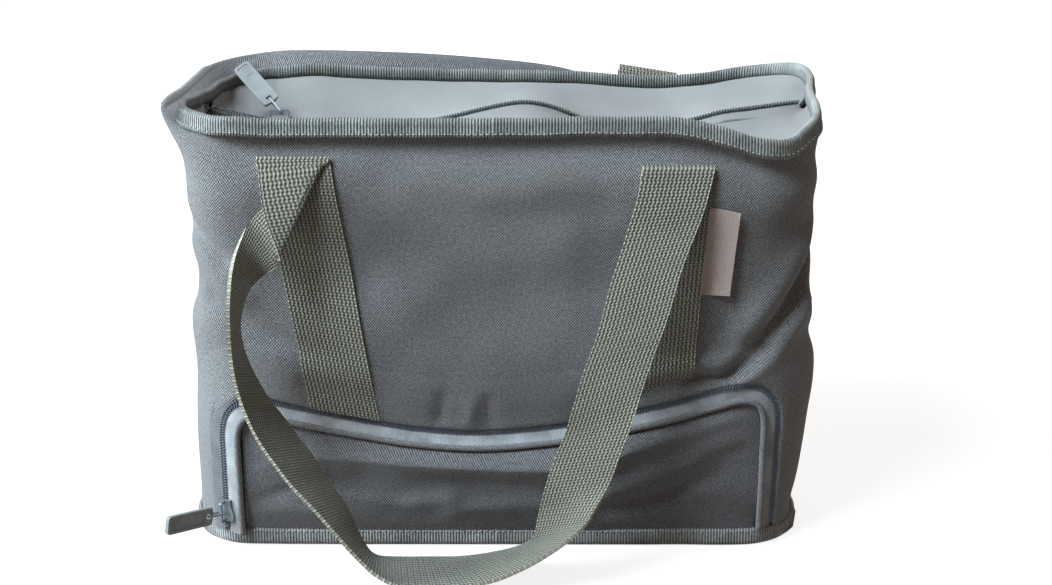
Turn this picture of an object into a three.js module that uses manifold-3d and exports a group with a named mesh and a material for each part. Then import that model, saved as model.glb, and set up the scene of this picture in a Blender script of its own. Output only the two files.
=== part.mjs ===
import * as THREE from 'three';
import { mergeVertices } from 'three/addons/utils/BufferGeometryUtils.js';
import Module from 'manifold-3d';

// Soft insulated cooler bag with two webbing handles, a zipped top and a zipped front pocket.
// Millimetres, +Z up, +X to the right, the front faces -Y, origin at the centre of the base's underside.
// The bag stands half empty, so its front is creased along the pocket zip and its flanks are pinched.

const wasm = await Module();
wasm.setup();

// Bag
const bagWidth = 338;
const bagDepth = 166;
const bagHeight = 228;
const cornerRadius = 38;

// Cloth, foam and the gap that neighbouring pieces keep
const fabric = 0.8;
const wallFoam = 5;
const baseFoam = 5;
const lidFoam = 3;
const film = 0.6;
const baseCloth = 1;
const clearance = 0.3;
const sewnGap = 0.55;

// Binding tape round the rim and the base
const bindingTape = 1.1;
const rimBinding = 10.5;
const baseBinding = 9.5;

// Slump of the walls: swell or draw-in at a height above the floor, and how far it reaches
const creaseDepth = 6.5;
const creaseReach = 14;
const browSwell = 5.5;
const browRise = 36;
const browReach = 26;
// Sides, each as a share of the bag's height and the swell there
const leftSide = [[0, 0], [0.12, 0], [0.2, -4.5], [0.4, -8], [0.47, -6.8], [0.66, -8.4], [0.84, -8], [0.93, 0], [1, 3.5]];
const rightSide = [[0, 0], [0.12, 0], [0.2, -1.5], [0.37, 1.7], [0.47, -1.2], [0.66, -4], [0.84, -4], [0.93, 0], [1, 3.5]];

// Webbing
const webbingWidth = 35;
const webbing = 1.8;
const foldDrop = 22;
const leftStrapInset = 68;
const rightStrapInset = 78;
const leftStrapSlant = 25;
const rightStrapSlant = 17;
const backStrapInset = 80;
const handleStand = 41;
const backHandleStand = 47;
const backRise = 14;
const backBend = 8;

// Top zip: chain, tapes and the place of its slider
const toothPitch = 6;
const chainHalf = 2.5;
const chainHeight = 2.2;
const toothReach = 0.45;
const toothGap = 0.4;
const tapeHalf = 12;
const tape = 0.7;
const topSliderInset = 50;
const topSliderStop = 32;
const topZipSag = 4.4;
const topZipRise = 5;
const flapLeft = -55;
const flapRight = 103;

// Front pocket: legs, top line and belly, measured on the front face
const pocketLeftInset = 27;
const pocketRightInset = 22;
const pocketTopLeft = 83;
const pocketTopRight = 91;
const pocketTopMiddle = 64;
const pocketSag = -8;
const pocketCorner = 24;
const pocketFold = 28;
const pocketBelly = 7.5;
const pocketZipStand = 3.4;
const pocketTapeHalf = 6.2;
const pocketSliderRest = 21;
const pocketSliderTravel = 32;
const piping = 3.6;

// Zip sliders and their pulls
const sliderLength = 12;
const sliderPlate = 1.25;
const sliderWall = 0.9;
const slack = 0.35;
const postWidth = 1.8;
const postLength = 3.4;
const bridgeBar = 1.2;
const bridgeWidth = 1.6;
const bridgeWindow = 3;
const linkWire = 0.9;
const linkReach = 9.5;
const tabLength = 30;
const tabWidth = 9.5;
const tabThick = 2.2;
const tabCorner = 2.2;
const tabBorder = 1.6;
const fieldDepth = 0.4;
const gripRibs = 3;
const gripWidth = 0.8;
const gripLength = 7;
const topPullLean = 39;
const topPullTilt = 38;
const pocketPullLean = -11;
const pocketPullTilt = 18;

// Blank label sewn beside the right front strap
const labelWidth = 16;
const labelHeight = 46;
const labelCloth = 1;
const labelDrop = 20;

// Values that follow from the sizes above
const halfWidth = bagWidth / 2;
const topSliderRest = topSliderInset - halfWidth;
const topSliderTravel = bagWidth - topSliderInset - topSliderStop;
const halfDepth = bagDepth / 2;
const pocketLeft = halfWidth - pocketLeftInset;
const pocketRight = halfWidth - pocketRightInset;
const leftFold = leftStrapInset - halfWidth;
const rightFold = halfWidth - rightStrapInset;
const frontStraps = {
  left: { top: leftFold, foot: leftFold + leftStrapSlant },
  right: { top: rightFold, foot: rightFold - rightStrapSlant },
};
const frontFlat = halfWidth - cornerRadius;
const sideFlat = halfDepth - cornerRadius;
const cornerArc = cornerRadius * Math.PI / 2;
const quarter = frontFlat + cornerArc + sideFlat;
const wallFoot = baseCloth + clearance;
const wallTop = bagHeight - bindingTape - clearance;
const rimInset = fabric + bindingTape + 3 * clearance;
const lidEdge = bagHeight - rimBinding - clearance;
const lidThick = fabric + clearance + lidFoam;
const liningTop = lidEdge - lidThick - 1.2;
const foldHeight = bagHeight - foldDrop;
const foamOuter = -(fabric + clearance);
const foamInner = foamOuter - wallFoam;
const linerOuter = foamInner - clearance;
const linerInner = linerOuter - film;

const smooth = (low, high, value) => THREE.MathUtils.smoothstep(value, low, high);
const fall = (low, high, value) => 1 - THREE.MathUtils.smoothstep(value, low, high);
const mix = THREE.MathUtils.lerp;
const bell = (value) => Math.exp(-value * value);

// Closed solid through matching sections. Each section is a loop whose two long sides face each other,
// so an open end is closed by a ladder of quads between them.
function loft(sections, ring = false) {
  const count = sections[0].length;
  const rows = sections.length;
  const positions = sections.flat().flatMap((point) => [point.x, point.y, point.z]);
  const index = [];
  const all = sections.flat();
  const quad = (a, b, c, d) => {
    const first = all[a].distanceTo(all[c]);
    const second = all[b].distanceTo(all[d]);
    if (first <= second) index.push(a, b, c, a, c, d);
    else index.push(a, b, d, b, c, d);
  };
  const spans = ring ? rows : rows - 1;
  for (let row = 0; row < spans; row += 1) {
    const near = row * count;
    const far = ((row + 1) % rows) * count;
    for (let step = 0; step < count; step += 1) {
      const next = (step + 1) % count;
      quad(near + step, near + next, far + next, far + step);
    }
  }
  if (!ring) {
    const last = (rows - 1) * count;
    for (let step = 0; step < count / 2 - 1; step += 1) {
      const back = count - 1 - step;
      quad(step, back, back - 1, step + 1);
      quad(last + step, last + step + 1, last + back - 1, last + back);
    }
  }
  return facingOut(positions, index);
}

// Tub or plate through stacked rings, closed by a fan at its first and last ring.
function stack(rings) {
  const count = rings[0].length;
  const positions = rings.flat().flatMap((point) => [point.x, point.y, point.z]);
  const index = [];
  for (let row = 0; row < rings.length - 1; row += 1) {
    for (let step = 0; step < count; step += 1) {
      const next = (step + 1) % count;
      const a = row * count + step;
      const b = row * count + next;
      const first = rings[row][step].distanceTo(rings[row + 1][next]);
      const second = rings[row][next].distanceTo(rings[row + 1][step]);
      if (first <= second) index.push(a, b, b + count, a, b + count, a + count);
      else index.push(a, b, a + count, b, b + count, a + count);
    }
  }
  const last = (rings.length - 1) * count;
  for (let step = 1; step < count - 1; step += 1) {
    index.push(0, step + 1, step);
    index.push(last, last + step, last + step + 1);
  }
  return facingOut(positions, index);
}

// Turns the faces over if the solid came out inside out.
function facingOut(positions, index) {
  const at = (i) => new THREE.Vector3().fromArray(positions, i * 3);
  let volume = 0;
  for (let i = 0; i < index.length; i += 3) {
    volume += at(index[i]).dot(at(index[i + 1]).cross(at(index[i + 2])));
  }
  const order = volume < 0 ? index.slice().reverse() : index;
  const geometry = new THREE.BufferGeometry();
  geometry.setAttribute('position', new THREE.Float32BufferAttribute(positions, 3));
  geometry.setIndex(order);
  return geometry;
}

function toSolid(geometry) {
  const bare = geometry.clone();
  bare.deleteAttribute('normal');
  bare.deleteAttribute('uv');
  const merged = mergeVertices(bare, 1e-4);
  const vertProperties = new Float32Array(merged.attributes.position.array);
  const triVerts = new Uint32Array(merged.index.array);
  return new wasm.Manifold(new wasm.Mesh({ numProp: 3, vertProperties, triVerts }));
}

function toGeometry(solid) {
  const mesh = solid.getMesh();
  const geometry = new THREE.BufferGeometry();
  geometry.setAttribute('position', new THREE.BufferAttribute(new Float32Array(mesh.vertProperties), 3));
  geometry.setIndex(new THREE.BufferAttribute(new Uint32Array(mesh.triVerts), 1));
  return geometry;
}

// Extrusion of a flat shape between two heights
function slab(shape, low, high, curveSegments = 6) {
  const geometry = new THREE.ExtrudeGeometry(shape, { depth: high - low, bevelEnabled: false, curveSegments });
  return geometry.translate(0, 0, low);
}

// Height of the pocket zip above the floor along the front face
function pocketTop(along) {
  const left = along < pocketSag;
  const corner = left ? pocketCorner - pocketLeft : pocketRight - pocketCorner;
  const high = left ? pocketTopLeft : pocketTopRight;
  const share = Math.min(1, Math.abs((along - pocketSag) / (corner - pocketSag)));
  return mix(pocketTopMiddle, high, share ** 1.7);
}

function sideSwell(table, share) {
  let low = 0;
  while (low < table.length - 2 && share > table[low + 1][0]) low += 1;
  const [[start, before], [end, after]] = [table[low], table[low + 1]];
  return mix(before, after, THREE.MathUtils.clamp((share - start) / (end - start), 0, 1));
}

// How far the wall stands out from its plain outline
function swell(along, height, face) {
  const reach = Math.abs(along);
  const side = smooth(frontFlat, quarter - sideFlat, reach);
  const sides = side * sideSwell(along < 0 ? leftSide : rightSide, height / bagHeight);
  const broad = fall(frontFlat * 0.45, frontFlat, reach);
  if (face > 0) {
    return sides + broad * browSwell * 0.6 * bell((height - bagHeight / 2) / (2 * browReach));
  }
  const above = height - pocketTop(along);
  const crease = -creaseDepth * bell(above / creaseReach);
  const brow = browSwell * bell((above - browRise) / browReach);
  return sides + broad * (crease + brow);
}

// Plain outline of the bag seen from above, by distance along the front (face -1) or the back (face 1)
function outline(along, face) {
  const reach = Math.abs(along);
  const way = along < 0 ? -1 : 1;
  const turn = THREE.MathUtils.clamp((reach - frontFlat) / cornerRadius, 0, Math.PI / 2);
  const rest = Math.max(0, reach - frontFlat - cornerArc);
  const x = Math.min(reach, frontFlat) + cornerRadius * Math.sin(turn);
  const y = sideFlat + cornerRadius * Math.cos(turn) - rest;
  const point = new THREE.Vector2(way * x, face * y);
  const normal = new THREE.Vector2(way * Math.sin(turn), face * Math.cos(turn));
  return { point, normal };
}

// Stations along a face and levels above the floor between which the wall is flat
const flatSteps = 4;
const cornerSteps = 4;
const halfStations = [];
for (let step = 0; step < flatSteps; step += 1) halfStations.push(frontFlat * step / flatSteps);
for (let step = 0; step <= cornerSteps; step += 1) halfStations.push(frontFlat + cornerArc * step / cornerSteps);
halfStations.push(quarter);
const stations = [...halfStations.slice(1).reverse().map((value) => -value), ...halfStations];
const creaseLow = pocketTopMiddle - creaseReach;
const creaseHigh = pocketTopRight + creaseReach;
const levels = [wallFoot, creaseLow / 2];
for (let step = 0; step <= 4; step += 1) levels.push(mix(creaseLow, creaseHigh, step / 4));
levels.push(leftSide[5][0] * bagHeight, leftSide[6][0] * bagHeight, liningTop);
levels.push(wallTop);

function cell(list, value) {
  let low = 0;
  while (low < list.length - 2 && value > list[low + 1]) low += 1;
  const share = (value - list[low]) / (list[low + 1] - list[low]);
  return { low, share: THREE.MathUtils.clamp(share, 0, 1) };
}

// Point on the wall: distance along the face, height, and distance out from the cloth's outer side.
// The wall's flat facets are split along their shorter diagonal, and the point lies on them.
function onWall(along, height, out, face) {
  const across = cell(stations, along);
  const up = cell(levels, height);
  const corner = (right, high) => {
    const station = stations[across.low + right];
    const level = levels[up.low + high];
    const plain = outline(station, face);
    const flat = plain.point.clone().addScaledVector(plain.normal, swell(station, level, face));
    return { point: new THREE.Vector3(flat.x, flat.y, level), normal: plain.normal };
  };
  const [a, b, c, d] = [corner(0, 0), corner(1, 0), corner(1, 1), corner(0, 1)];
  const u = across.share;
  const v = up.share;
  const rising = a.point.distanceTo(c.point) <= b.point.distanceTo(d.point);
  let weights;
  if (rising) weights = u >= v ? [1 - u, u - v, v, 0] : [1 - v, 0, u, v - u];
  else weights = u + v <= 1 ? [1 - u - v, u, 0, v] : [0, 1 - v, u + v - 1, 1 - u];
  const place = new THREE.Vector3();
  [a, b, c, d].forEach((end, i) => {
    place.addScaledVector(end.point, weights[i]);
    place.x += end.normal.x * out * weights[i];
    place.y += end.normal.y * out * weights[i];
  });
  return place.setZ(height);
}

const between = (low, high) => stations.filter((value) => value > low + 1e-6 && value < high - 1e-6);
const run = (low, high) => [low, ...between(low, high), high];
const around = [
  ...stations.slice(0, -1).map((along) => ({ along, face: -1 })),
  ...stations.slice(1).reverse().map((along) => ({ along, face: 1 })),
];
const ringAt = (height, out) => around.map((place) => onWall(place.along, height, out, place.face));

// Sheet that follows the wall between two depths, from one level to another
function wallSheet(places, low, high, outer, inner) {
  const heights = [low, ...levels.filter((value) => value > low + 1e-6 && value < high - 1e-6), high];
  return loft(places.map((place) => [
    ...heights.map((height) => onWall(place.along, height, outer, place.face)),
    ...heights.slice().reverse().map((height) => onWall(place.along, height, inner, place.face)),
  ]));
}

// Materials
const finish = (color, roughness, metalness = 0) => new THREE.MeshStandardMaterial({ color, roughness, metalness });
const cloth = finish(0x7c8086, 0.9);
const shade = finish(0x5c5f64, 0.9);
const tapeCloth = finish(0x7e8580, 0.85);
const webCloth = finish(0x777a74, 0.85);
const foamLook = finish(0xe4e4de, 0.95);
const filmLook = finish(0xc9ccce, 0.35);
const coil = finish(0x3c3e40, 0.5);
const zipCloth = finish(0x8e979d, 0.85);
const metal = finish(0x8a8c8d, 0.35, 0.9);
const moulded = finish(0x9aa3a6, 0.55);
const labelLook = finish(0x978a82, 0.8);

const group = new THREE.Group();
function add(name, geometry, look, parent = group) {
  const mesh = new THREE.Mesh(geometry, look);
  mesh.name = name;
  parent.add(mesh);
  return mesh;
}

// Outer cloth: front and back panels meet at a seam in the middle of each side
const seam = quarter - clearance / 2;
for (const [name, face] of [['front_panel', -1], ['back_panel', 1]]) {
  const places = run(-seam, seam).map((along) => ({ along, face }));
  add(name, wallSheet(places, wallFoot, wallTop, 0, -fabric), cloth);
}

// Foam sheets: front and back reach half way round the corners, the side sheets fill the rest
const cornerMiddle = frontFlat + cornerArc / 2;
const foamFoot = wallFoot + baseFoam + clearance;
for (const [name, face] of [['foam_front', -1], ['foam_back', 1]]) {
  const end = cornerMiddle - clearance / 2;
  const places = run(-end, end).map((along) => ({ along, face }));
  add(name, wallSheet(places, foamFoot, liningTop, foamOuter, foamInner), foamLook);
}
for (const [name, way] of [['foam_left', -1], ['foam_right', 1]]) {
  const half = run(cornerMiddle + clearance / 2, quarter);
  const places = [
    ...half.map((along) => ({ along: way * along, face: -1 })),
    ...half.slice(0, -1).reverse().map((along) => ({ along: way * along, face: 1 })),
  ];
  add(name, wallSheet(places, foamFoot, liningTop, foamOuter, foamInner), foamLook);
}

// Base: cloth, foam and the waterproof liner tub
add('base_panel', stack([ringAt(0, 0), ringAt(baseCloth, 0)].map((ring, row) => ring.map((point) => {
  return new THREE.Vector3(point.x, point.y, row * baseCloth);
}))), shade);
const baseRing = (height) => ringAt(wallFoot, foamOuter).map((point) => point.setZ(height));
add('foam_base', stack([baseRing(wallFoot), baseRing(wallFoot + baseFoam)]), foamLook);
const tubLevels = [foamFoot + film, ...levels.filter((value) => value > foamFoot + film + 1), liningTop];
const tubHeights = tubLevels.filter((value, i) => value <= liningTop && tubLevels.indexOf(value) === i);
add('liner', stack([
  ringAt(foamFoot, linerOuter),
  ...tubHeights.map((height) => ringAt(height, linerOuter)),
  ...tubHeights.slice().reverse().map((height) => ringAt(height, linerInner)),
]), filmLook);

// Bindings: a folded tape over the rim and a flat band round the base seam
const rimLow = bagHeight - rimBinding;
const outerLeg = clearance + bindingTape;
const innerLeg = -(fabric + clearance);
add('top_rim_binding', loft(around.map((place) => {
  const at = (out, height) => onWall(place.along, Math.min(height, wallTop), out, place.face).setZ(height);
  const shoulderZ = bagHeight - bindingTape;
  return [
    at(outerLeg, rimLow),
    at(outerLeg, shoulderZ),
    at(outerLeg - bindingTape / 2, bagHeight),
    at(innerLeg - bindingTape / 2, bagHeight),
    at(innerLeg - bindingTape, shoulderZ),
    at(innerLeg - bindingTape, rimLow),
    at(innerLeg, rimLow),
    at(innerLeg, shoulderZ),
    at(clearance, shoulderZ),
    at(clearance, rimLow),
  ];
}), true), tapeCloth);
add('base_binding', loft(around.map((place) => {
  const at = (out, height) => onWall(place.along, Math.max(height, wallFoot), out, place.face).setZ(height);
  return [
    at(clearance, 0),
    at(clearance + bindingTape, 0),
    at(clearance + bindingTape, baseBinding),
    at(clearance, baseBinding),
  ];
}), true), tapeCloth);

// Webbing runs sewn to the wall
const strapSpread = [-0.5, -0.17, 0.17, 0.5].map((share) => share * webbingWidth);
function strapSection(centre, height, out, face) {
  const far = strapSpread.map((step) => onWall(centre + step, height, out + webbing, face));
  const near = strapSpread.slice().reverse().map((step) => onWall(centre + step, height, out, face));
  return [...far, ...near];
}
function sewnHeights(foot, top) {
  return [foot, ...levels.filter((value) => value > foot + 1 && value < top - 1), top];
}
const strapCentre = (strap, height, foot) => mix(strap.foot, strap.top, (height - foot) / (foldHeight - foot));
for (const [side, strap] of Object.entries(frontStraps)) {
  const edges = strapSpread.map((step) => pocketTop(strap.foot + step));
  const foot = Math.max(...edges) + pocketTapeHalf + 4 * clearance;
  strap.sewnFoot = foot;
  const sections = sewnHeights(foot, foldHeight).map((height) => {
    return strapSection(strapCentre(strap, height, foot), height, sewnGap, -1);
  });
  add(`front_strap_${side}`, loft(sections), webCloth);
}

// Back runs leave the wall near the rim and stand up over it in a bend, where the loop hangs on
const backHalf = halfWidth - backStrapInset;
const bendLow = foldHeight + backRise;
const bendOut = sewnGap + webbing / 2 + outerLeg + clearance;
for (const [side, way] of [['left', -1], ['right', 1]]) {
  const centre = way * backHalf;
  const sections = sewnHeights(baseBinding + clearance, foldHeight).map((height) => {
    return strapSection(centre, height, sewnGap, 1);
  });
  for (let step = 0; step <= 3; step += 1) {
    const turn = step / 3 * Math.PI / 2;
    const out = bendOut + backBend * (1 - Math.cos(turn));
    const height = bendLow + backBend * Math.sin(turn);
    const at = (shift, grow) => {
      const flat = onWall(centre + shift, wallTop, out + grow * Math.cos(turn), 1);
      return flat.setZ(height - grow * Math.sin(turn));
    };
    sections.push([
      ...strapSpread.map((shift) => at(shift, webbing / 2)),
      ...strapSpread.slice().reverse().map((shift) => at(shift, -webbing / 2)),
    ]);
  }
  add(`back_strap_${side}`, loft(sections), webCloth);
}

// Label: a bare cloth tab whose left edge meets the right front strap
const rightStrap = frontStraps.right;
const labelTop = foldHeight - labelDrop;
const labelLeft = strapCentre(rightStrap, labelTop, rightStrap.sewnFoot) + webbingWidth / 2 + clearance;
add('side_label', loft(sewnHeights(labelTop - labelHeight, labelTop).map((height) => {
  const spread = [0, 0.5, 1].map((share) => labelLeft + share * labelWidth);
  return [
    ...spread.map((along) => onWall(along, height, sewnGap + labelCloth, -1)),
    ...spread.slice().reverse().map((along) => onWall(along, height, sewnGap, -1)),
  ];
})), labelLook);

// Free webbing loop through stations. Each station has a centre and the direction across the webbing.
// Its two ends are cut along that direction, and between them the section is square to the route.
function ribbon(route, steps) {
  const centres = new THREE.CatmullRomCurve3(route.map((stop) => stop.centre), false, 'centripetal');
  const across = new THREE.CatmullRomCurve3(route.map((stop) => stop.across), false, 'centripetal');
  const sections = [];
  for (let step = 0; step <= steps; step += 1) {
    const share = step / steps;
    const point = centres.getPoint(share);
    const along = centres.getTangent(share);
    const wide = across.getPoint(share);
    const square = Math.min(1, share * (route.length - 1), (1 - share) * (route.length - 1));
    wide.addScaledVector(along, -wide.dot(along) * square).setLength(webbingWidth / 2);
    const thick = new THREE.Vector3().crossVectors(along, wide).setLength(webbing / 2);
    const corner = (a, b) => point.clone().addScaledVector(wide, a).addScaledVector(thick, b);
    sections.push([corner(-1, 1), corner(1, 1), corner(1, -1), corner(-1, -1)]);
  }
  return loft(sections);
}
const vector = (x, y, z) => new THREE.Vector3(x, y, z);

// Free webbing loop between its two edges
function edged(route, steps) {
  const [first, second] = [0, 1].map((edge) => new THREE.CatmullRomCurve3(route.map((stop) => stop[edge]), false, 'centripetal'));
  const sections = [];
  for (let step = 0; step <= steps; step += 1) {
    const share = step / steps;
    const [a, b] = [first.getPoint(share), second.getPoint(share)];
    const along = first.getTangent(share).add(second.getTangent(share));
    const thick = new THREE.Vector3().crossVectors(along, b.clone().sub(a)).setLength(webbing / 2);
    sections.push([a.clone().add(thick), b.clone().add(thick), b.clone().sub(thick), a.clone().sub(thick)]);
  }
  return loft(sections);
}

// Front loop: hangs from its folds, lies on the floor in front, climbs edge on and turns back below the left fold
const frontFace = halfDepth + swell(frontStraps.right.top, foldHeight, -1);
const foldOut = sewnGap + webbing + clearance + webbing / 2;
const foldEnd = (fold, way) => vector(fold + way * webbingWidth / 2, -frontFace - foldOut, foldHeight + clearance);
const spot = (x, out, up) => vector(x * rightFold, -halfDepth - out * handleStand, up * foldHeight);
add('front_handle_loop', edged([
  [foldEnd(rightFold, -1), foldEnd(rightFold, 1)],
  [spot(0.805, 0.091, 0.992), spot(1.19, 0.091, 0.992)],
  [spot(0.774, 0.162, 0.916), spot(1.153, 0.211, 0.922)],
  [spot(0.68, 0.33, 0.781), spot(1.063, 0.36, 0.814)],
  [spot(0.563, 0.577, 0.604), spot(0.941, 0.577, 0.648)],
  [spot(0.433, 0.784, 0.437), spot(0.807, 0.809, 0.483)],
  [spot(0.33, 0.809, 0.293), spot(0.687, 1.052, 0.333)],
  [spot(0.279, 0.821, 0.217), spot(0.626, 1.113, 0.26)],
  [spot(0.255, 0.76, 0.154), spot(0.554, 1.223, 0.206)],
  [spot(0.203, 0.662, 0.068), spot(0.413, 1.321, 0.136)],
  [spot(0.108, 0.601, 0.042), spot(0.303, 1.338, 0.1)],
  [spot(-0.049, 0.552, 0.02), spot(0.159, 1.357, 0.062)],
  [spot(-0.209, 0.528, 0.009), spot(-0.022, 1.37, 0.029)],
  [spot(-0.374, 0.535, 0.009), spot(-0.286, 1.377, 0.013)],
  [spot(-0.549, 0.54, 0.009), spot(-0.505, 1.377, 0.017)],
  [spot(-0.67, 0.54, 0.013), spot(-0.643, 1.357, 0.046)],
  [spot(-0.729, 0.545, 0.032), spot(-0.732, 1.343, 0.084)],
  [spot(-0.784, 0.54, 0.079), spot(-0.818, 1.345, 0.132)],
  [spot(-0.882, 0.552, 0.182), spot(-0.995, 1.33, 0.232)],
  [spot(-1.004, 0.572, 0.282), spot(-1.165, 1.306, 0.33)],
  [spot(-1.176, 0.528, 0.387), spot(-1.295, 1.296, 0.438)],
  [spot(-1.322, 0.487, 0.49), spot(-1.362, 1.279, 0.55)],
  [spot(-1.389, 0.513, 0.602), spot(-1.371, 1.279, 0.665)],
  [spot(-1.384, 0.528, 0.647), spot(-1.368, 1.272, 0.714)],
  [spot(-1.352, 0.504, 0.696), spot(-1.364, 1.199, 0.757)],
  [spot(-1.313, 0.467, 0.728), spot(-1.36, 1.077, 0.793)],
  [spot(-1.264, 0.443, 0.747), spot(-1.356, 0.906, 0.821)],
  [spot(-1.202, 0.455, 0.76), spot(-1.343, 0.674, 0.845)],
  [spot(-1.135, 0.528, 0.776), spot(-1.323, 0.455, 0.866)],
  [spot(-1.143, 0.528, 0.801), spot(-1.29, 0.309, 0.885)],
  [spot(-1.154, 0.509, 0.827), spot(-1.242, 0.223, 0.9)],
  [spot(-1.185, 0.426, 0.88), spot(-1.118, 0.152, 0.939)],
  [spot(-1.221, 0.289, 0.935), spot(-0.993, 0.113, 0.971)],
  [spot(-1.244, 0.191, 0.969), spot(-0.922, 0.104, 0.99)],
  [foldEnd(leftFold, -1), foldEnd(leftFold, 1)],
], 60), webCloth);

// Back loop: rises over its bend and hangs down behind to the floor
const backFace = halfDepth + swell(backHalf, wallTop, 1);
const apexOut = bendOut + backBend + 2 * clearance;
const apexHeight = bendLow + backBend;
const fromBend = (x, out, drop, across) => {
  return { centre: vector(x * backHalf, backFace + apexOut + out * backHandleStand, apexHeight - drop * foldHeight), across };
};
const behind = (x, out, up, across) => {
  return { centre: vector(x * backHalf, halfDepth + out * backHandleStand, up * foldHeight + webbing / 2), across };
};
const backLeg = (way) => [
  fromBend(way, 0, 0, vector(way, 0, 0)),
  fromBend(way, 0.085, 0.0024, vector(way, 0, 0)),
  fromBend(way * 0.989, 0.17, 0.068, vector(way, 0, 0)),
  fromBend(way * 0.894, 0.277, 0.34, vector(way, 0, -0.15)),
  behind(way * 0.702, 0.702, 0.447, vector(way, 0.05, -0.25)),
  behind(way * 0.543, 0.872, 0.233, vector(way, 0.25, -0.3)),
  behind(way * 0.394, 1, 0.078, vector(way * 0.8, 0.7, -0.2)),
  behind(way * 0.191, 1, 0.01, vector(way * 0.2, 1, 0)),
];
add('rear_handle_loop', ribbon([
  ...backLeg(1),
  behind(0, 0.979, 0.005, vector(0, 1, 0)),
  ...backLeg(-1).reverse(),
], 50), webCloth);

// Top zip: its line sinks below the rim at the left and climbs slowly to the right
const rimReach = onWall(quarter, lidEdge, -rimInset, -1).x;
const zipLow = lidEdge - topZipSag;
const zipSlope = topZipRise / topSliderTravel;
function zipHeight(x) {
  const line = zipLow + (x - topSliderRest) * zipSlope;
  const openEnd = topSliderRest - sliderLength;
  const share = Math.max(0, (openEnd - x) / (openEnd + rimReach));
  return mix(line, lidEdge, share ** 2);
}
const spreadFull = postWidth / 2 + clearance + toothReach;
const topSpread = (x) => spreadFull * fall(topSliderRest - 3, topSliderRest + 3, x);
const tapeEnd = rimReach - clearance;
const tapeSteps = 20;
const teeth = 2 * Math.round(tapeEnd / toothPitch);

// Chain half with teeth that reach past the middle, in step with the gaps of the other half
function toothTip(step, way) {
  const tooth = (step % 2 === 0) === (way < 0);
  return tooth ? -toothReach : toothReach + toothGap;
}
for (const [name, way] of [['front', -1], ['rear', 1]]) {
  const tapeSections = [];
  const even = [];
  for (let step = 0; step <= tapeSteps; step += 1) even.push(mix(-tapeEnd, tapeEnd, step / tapeSteps));
  const nearSlider = [-3, -1.5, 0, 1.5, 3].map((step) => topSliderRest + step);
  const stops = even.filter((x) => Math.abs(x - topSliderRest) > 4.5).concat(nearSlider).sort((a, b) => a - b);
  for (const x of stops) {
    const near = chainHalf + clearance + topSpread(x);
    const z = zipHeight(x);
    const at = (y, lift) => vector(x, way * y, z + lift * tape / 2);
    tapeSections.push([at(near, 1), at(tapeHalf, 1), at(tapeHalf, -1), at(near, -1)]);
  }
  add(`top_zip_tape_${name}`, loft(tapeSections), zipCloth);
  const chainSections = [];
  for (let step = 0; step <= 2 * teeth; step += 1) {
    const x = mix(-tapeEnd, tapeEnd, step / (2 * teeth));
    const z = zipHeight(x);
    const shift = topSpread(x);
    const tip = toothTip(step, way) + shift;
    const at = (y, lift) => vector(x, way * y, z + lift * chainHeight / 2);
    chainSections.push([at(tip, 0.65), at(chainHalf + shift, 1), at(chainHalf + shift, -1), at(tip, -0.65)]);
  }
  add(`top_zip_chain_${name}`, loft(chainSections), coil);
}

// Lid halves: each has a middle that lifts like a flap and two ends that stay with the rim.
// Cloth on top, foam with its waterproof film below.
const lidInner = tapeHalf + clearance;
const lidCrown = 0.5;
const endKeep = 9;
function lidSections(places, top, bottom) {
  return places.map(({ inner, outer }) => {
    const shares = [0, 0.33, 0.67, 1];
    const line = (drop) => shares.map((share) => {
      const flat = inner.clone().lerp(outer, share);
      const high = zipHeight(inner.x) + lidCrown;
      return flat.setZ(mix(high, lidEdge, share ** 1.4) - drop);
    });
    return [...line(top), ...line(bottom).reverse()];
  });
}
function lidPiece(name, places) {
  const lining = fabric + clearance;
  add(`${name}_cover`, loft(lidSections(places, 0, fabric)), cloth);
  add(`${name}_lining`, loft(lidSections(places, lining, lining + lidFoam)), filmLook);
}
const rimPoint = (along, face) => onWall(along, lidEdge, -rimInset, face);
const zipEdge = (x, face) => vector(x, face * lidInner, 0);
for (const [name, face] of [['top_front', -1], ['top_rear', 1]]) {
  const middle = [];
  const count = 5;
  for (let step = 0; step <= count; step += 1) {
    const x = mix(flapLeft + clearance / 2, flapRight - clearance / 2, step / count);
    middle.push({ inner: zipEdge(x, face), outer: rimPoint(x, face) });
  }
  lidPiece(name, middle);
  const sideEnd = quarter - lidInner - endKeep;
  for (const [end, way, start] of [['left_end', -1, -flapLeft], ['right_end', 1, flapRight]]) {
    const alongs = run(start + clearance / 2, sideEnd);
    const lengths = alongs.map((along) => (along - alongs[0]) / (sideEnd - alongs[0]));
    const places = alongs.map((along, i) => {
      const x = mix(start + clearance / 2, rimReach, Math.min(1, lengths[i] * 1.25));
      return { inner: zipEdge(way * mix(x, rimReach - 1, lengths[i]), face), outer: rimPoint(way * along, face) };
    });
    places[0].inner.x = way * (start + clearance / 2);
    lidPiece(`${name}_${end}`, places);
  }
}

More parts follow.
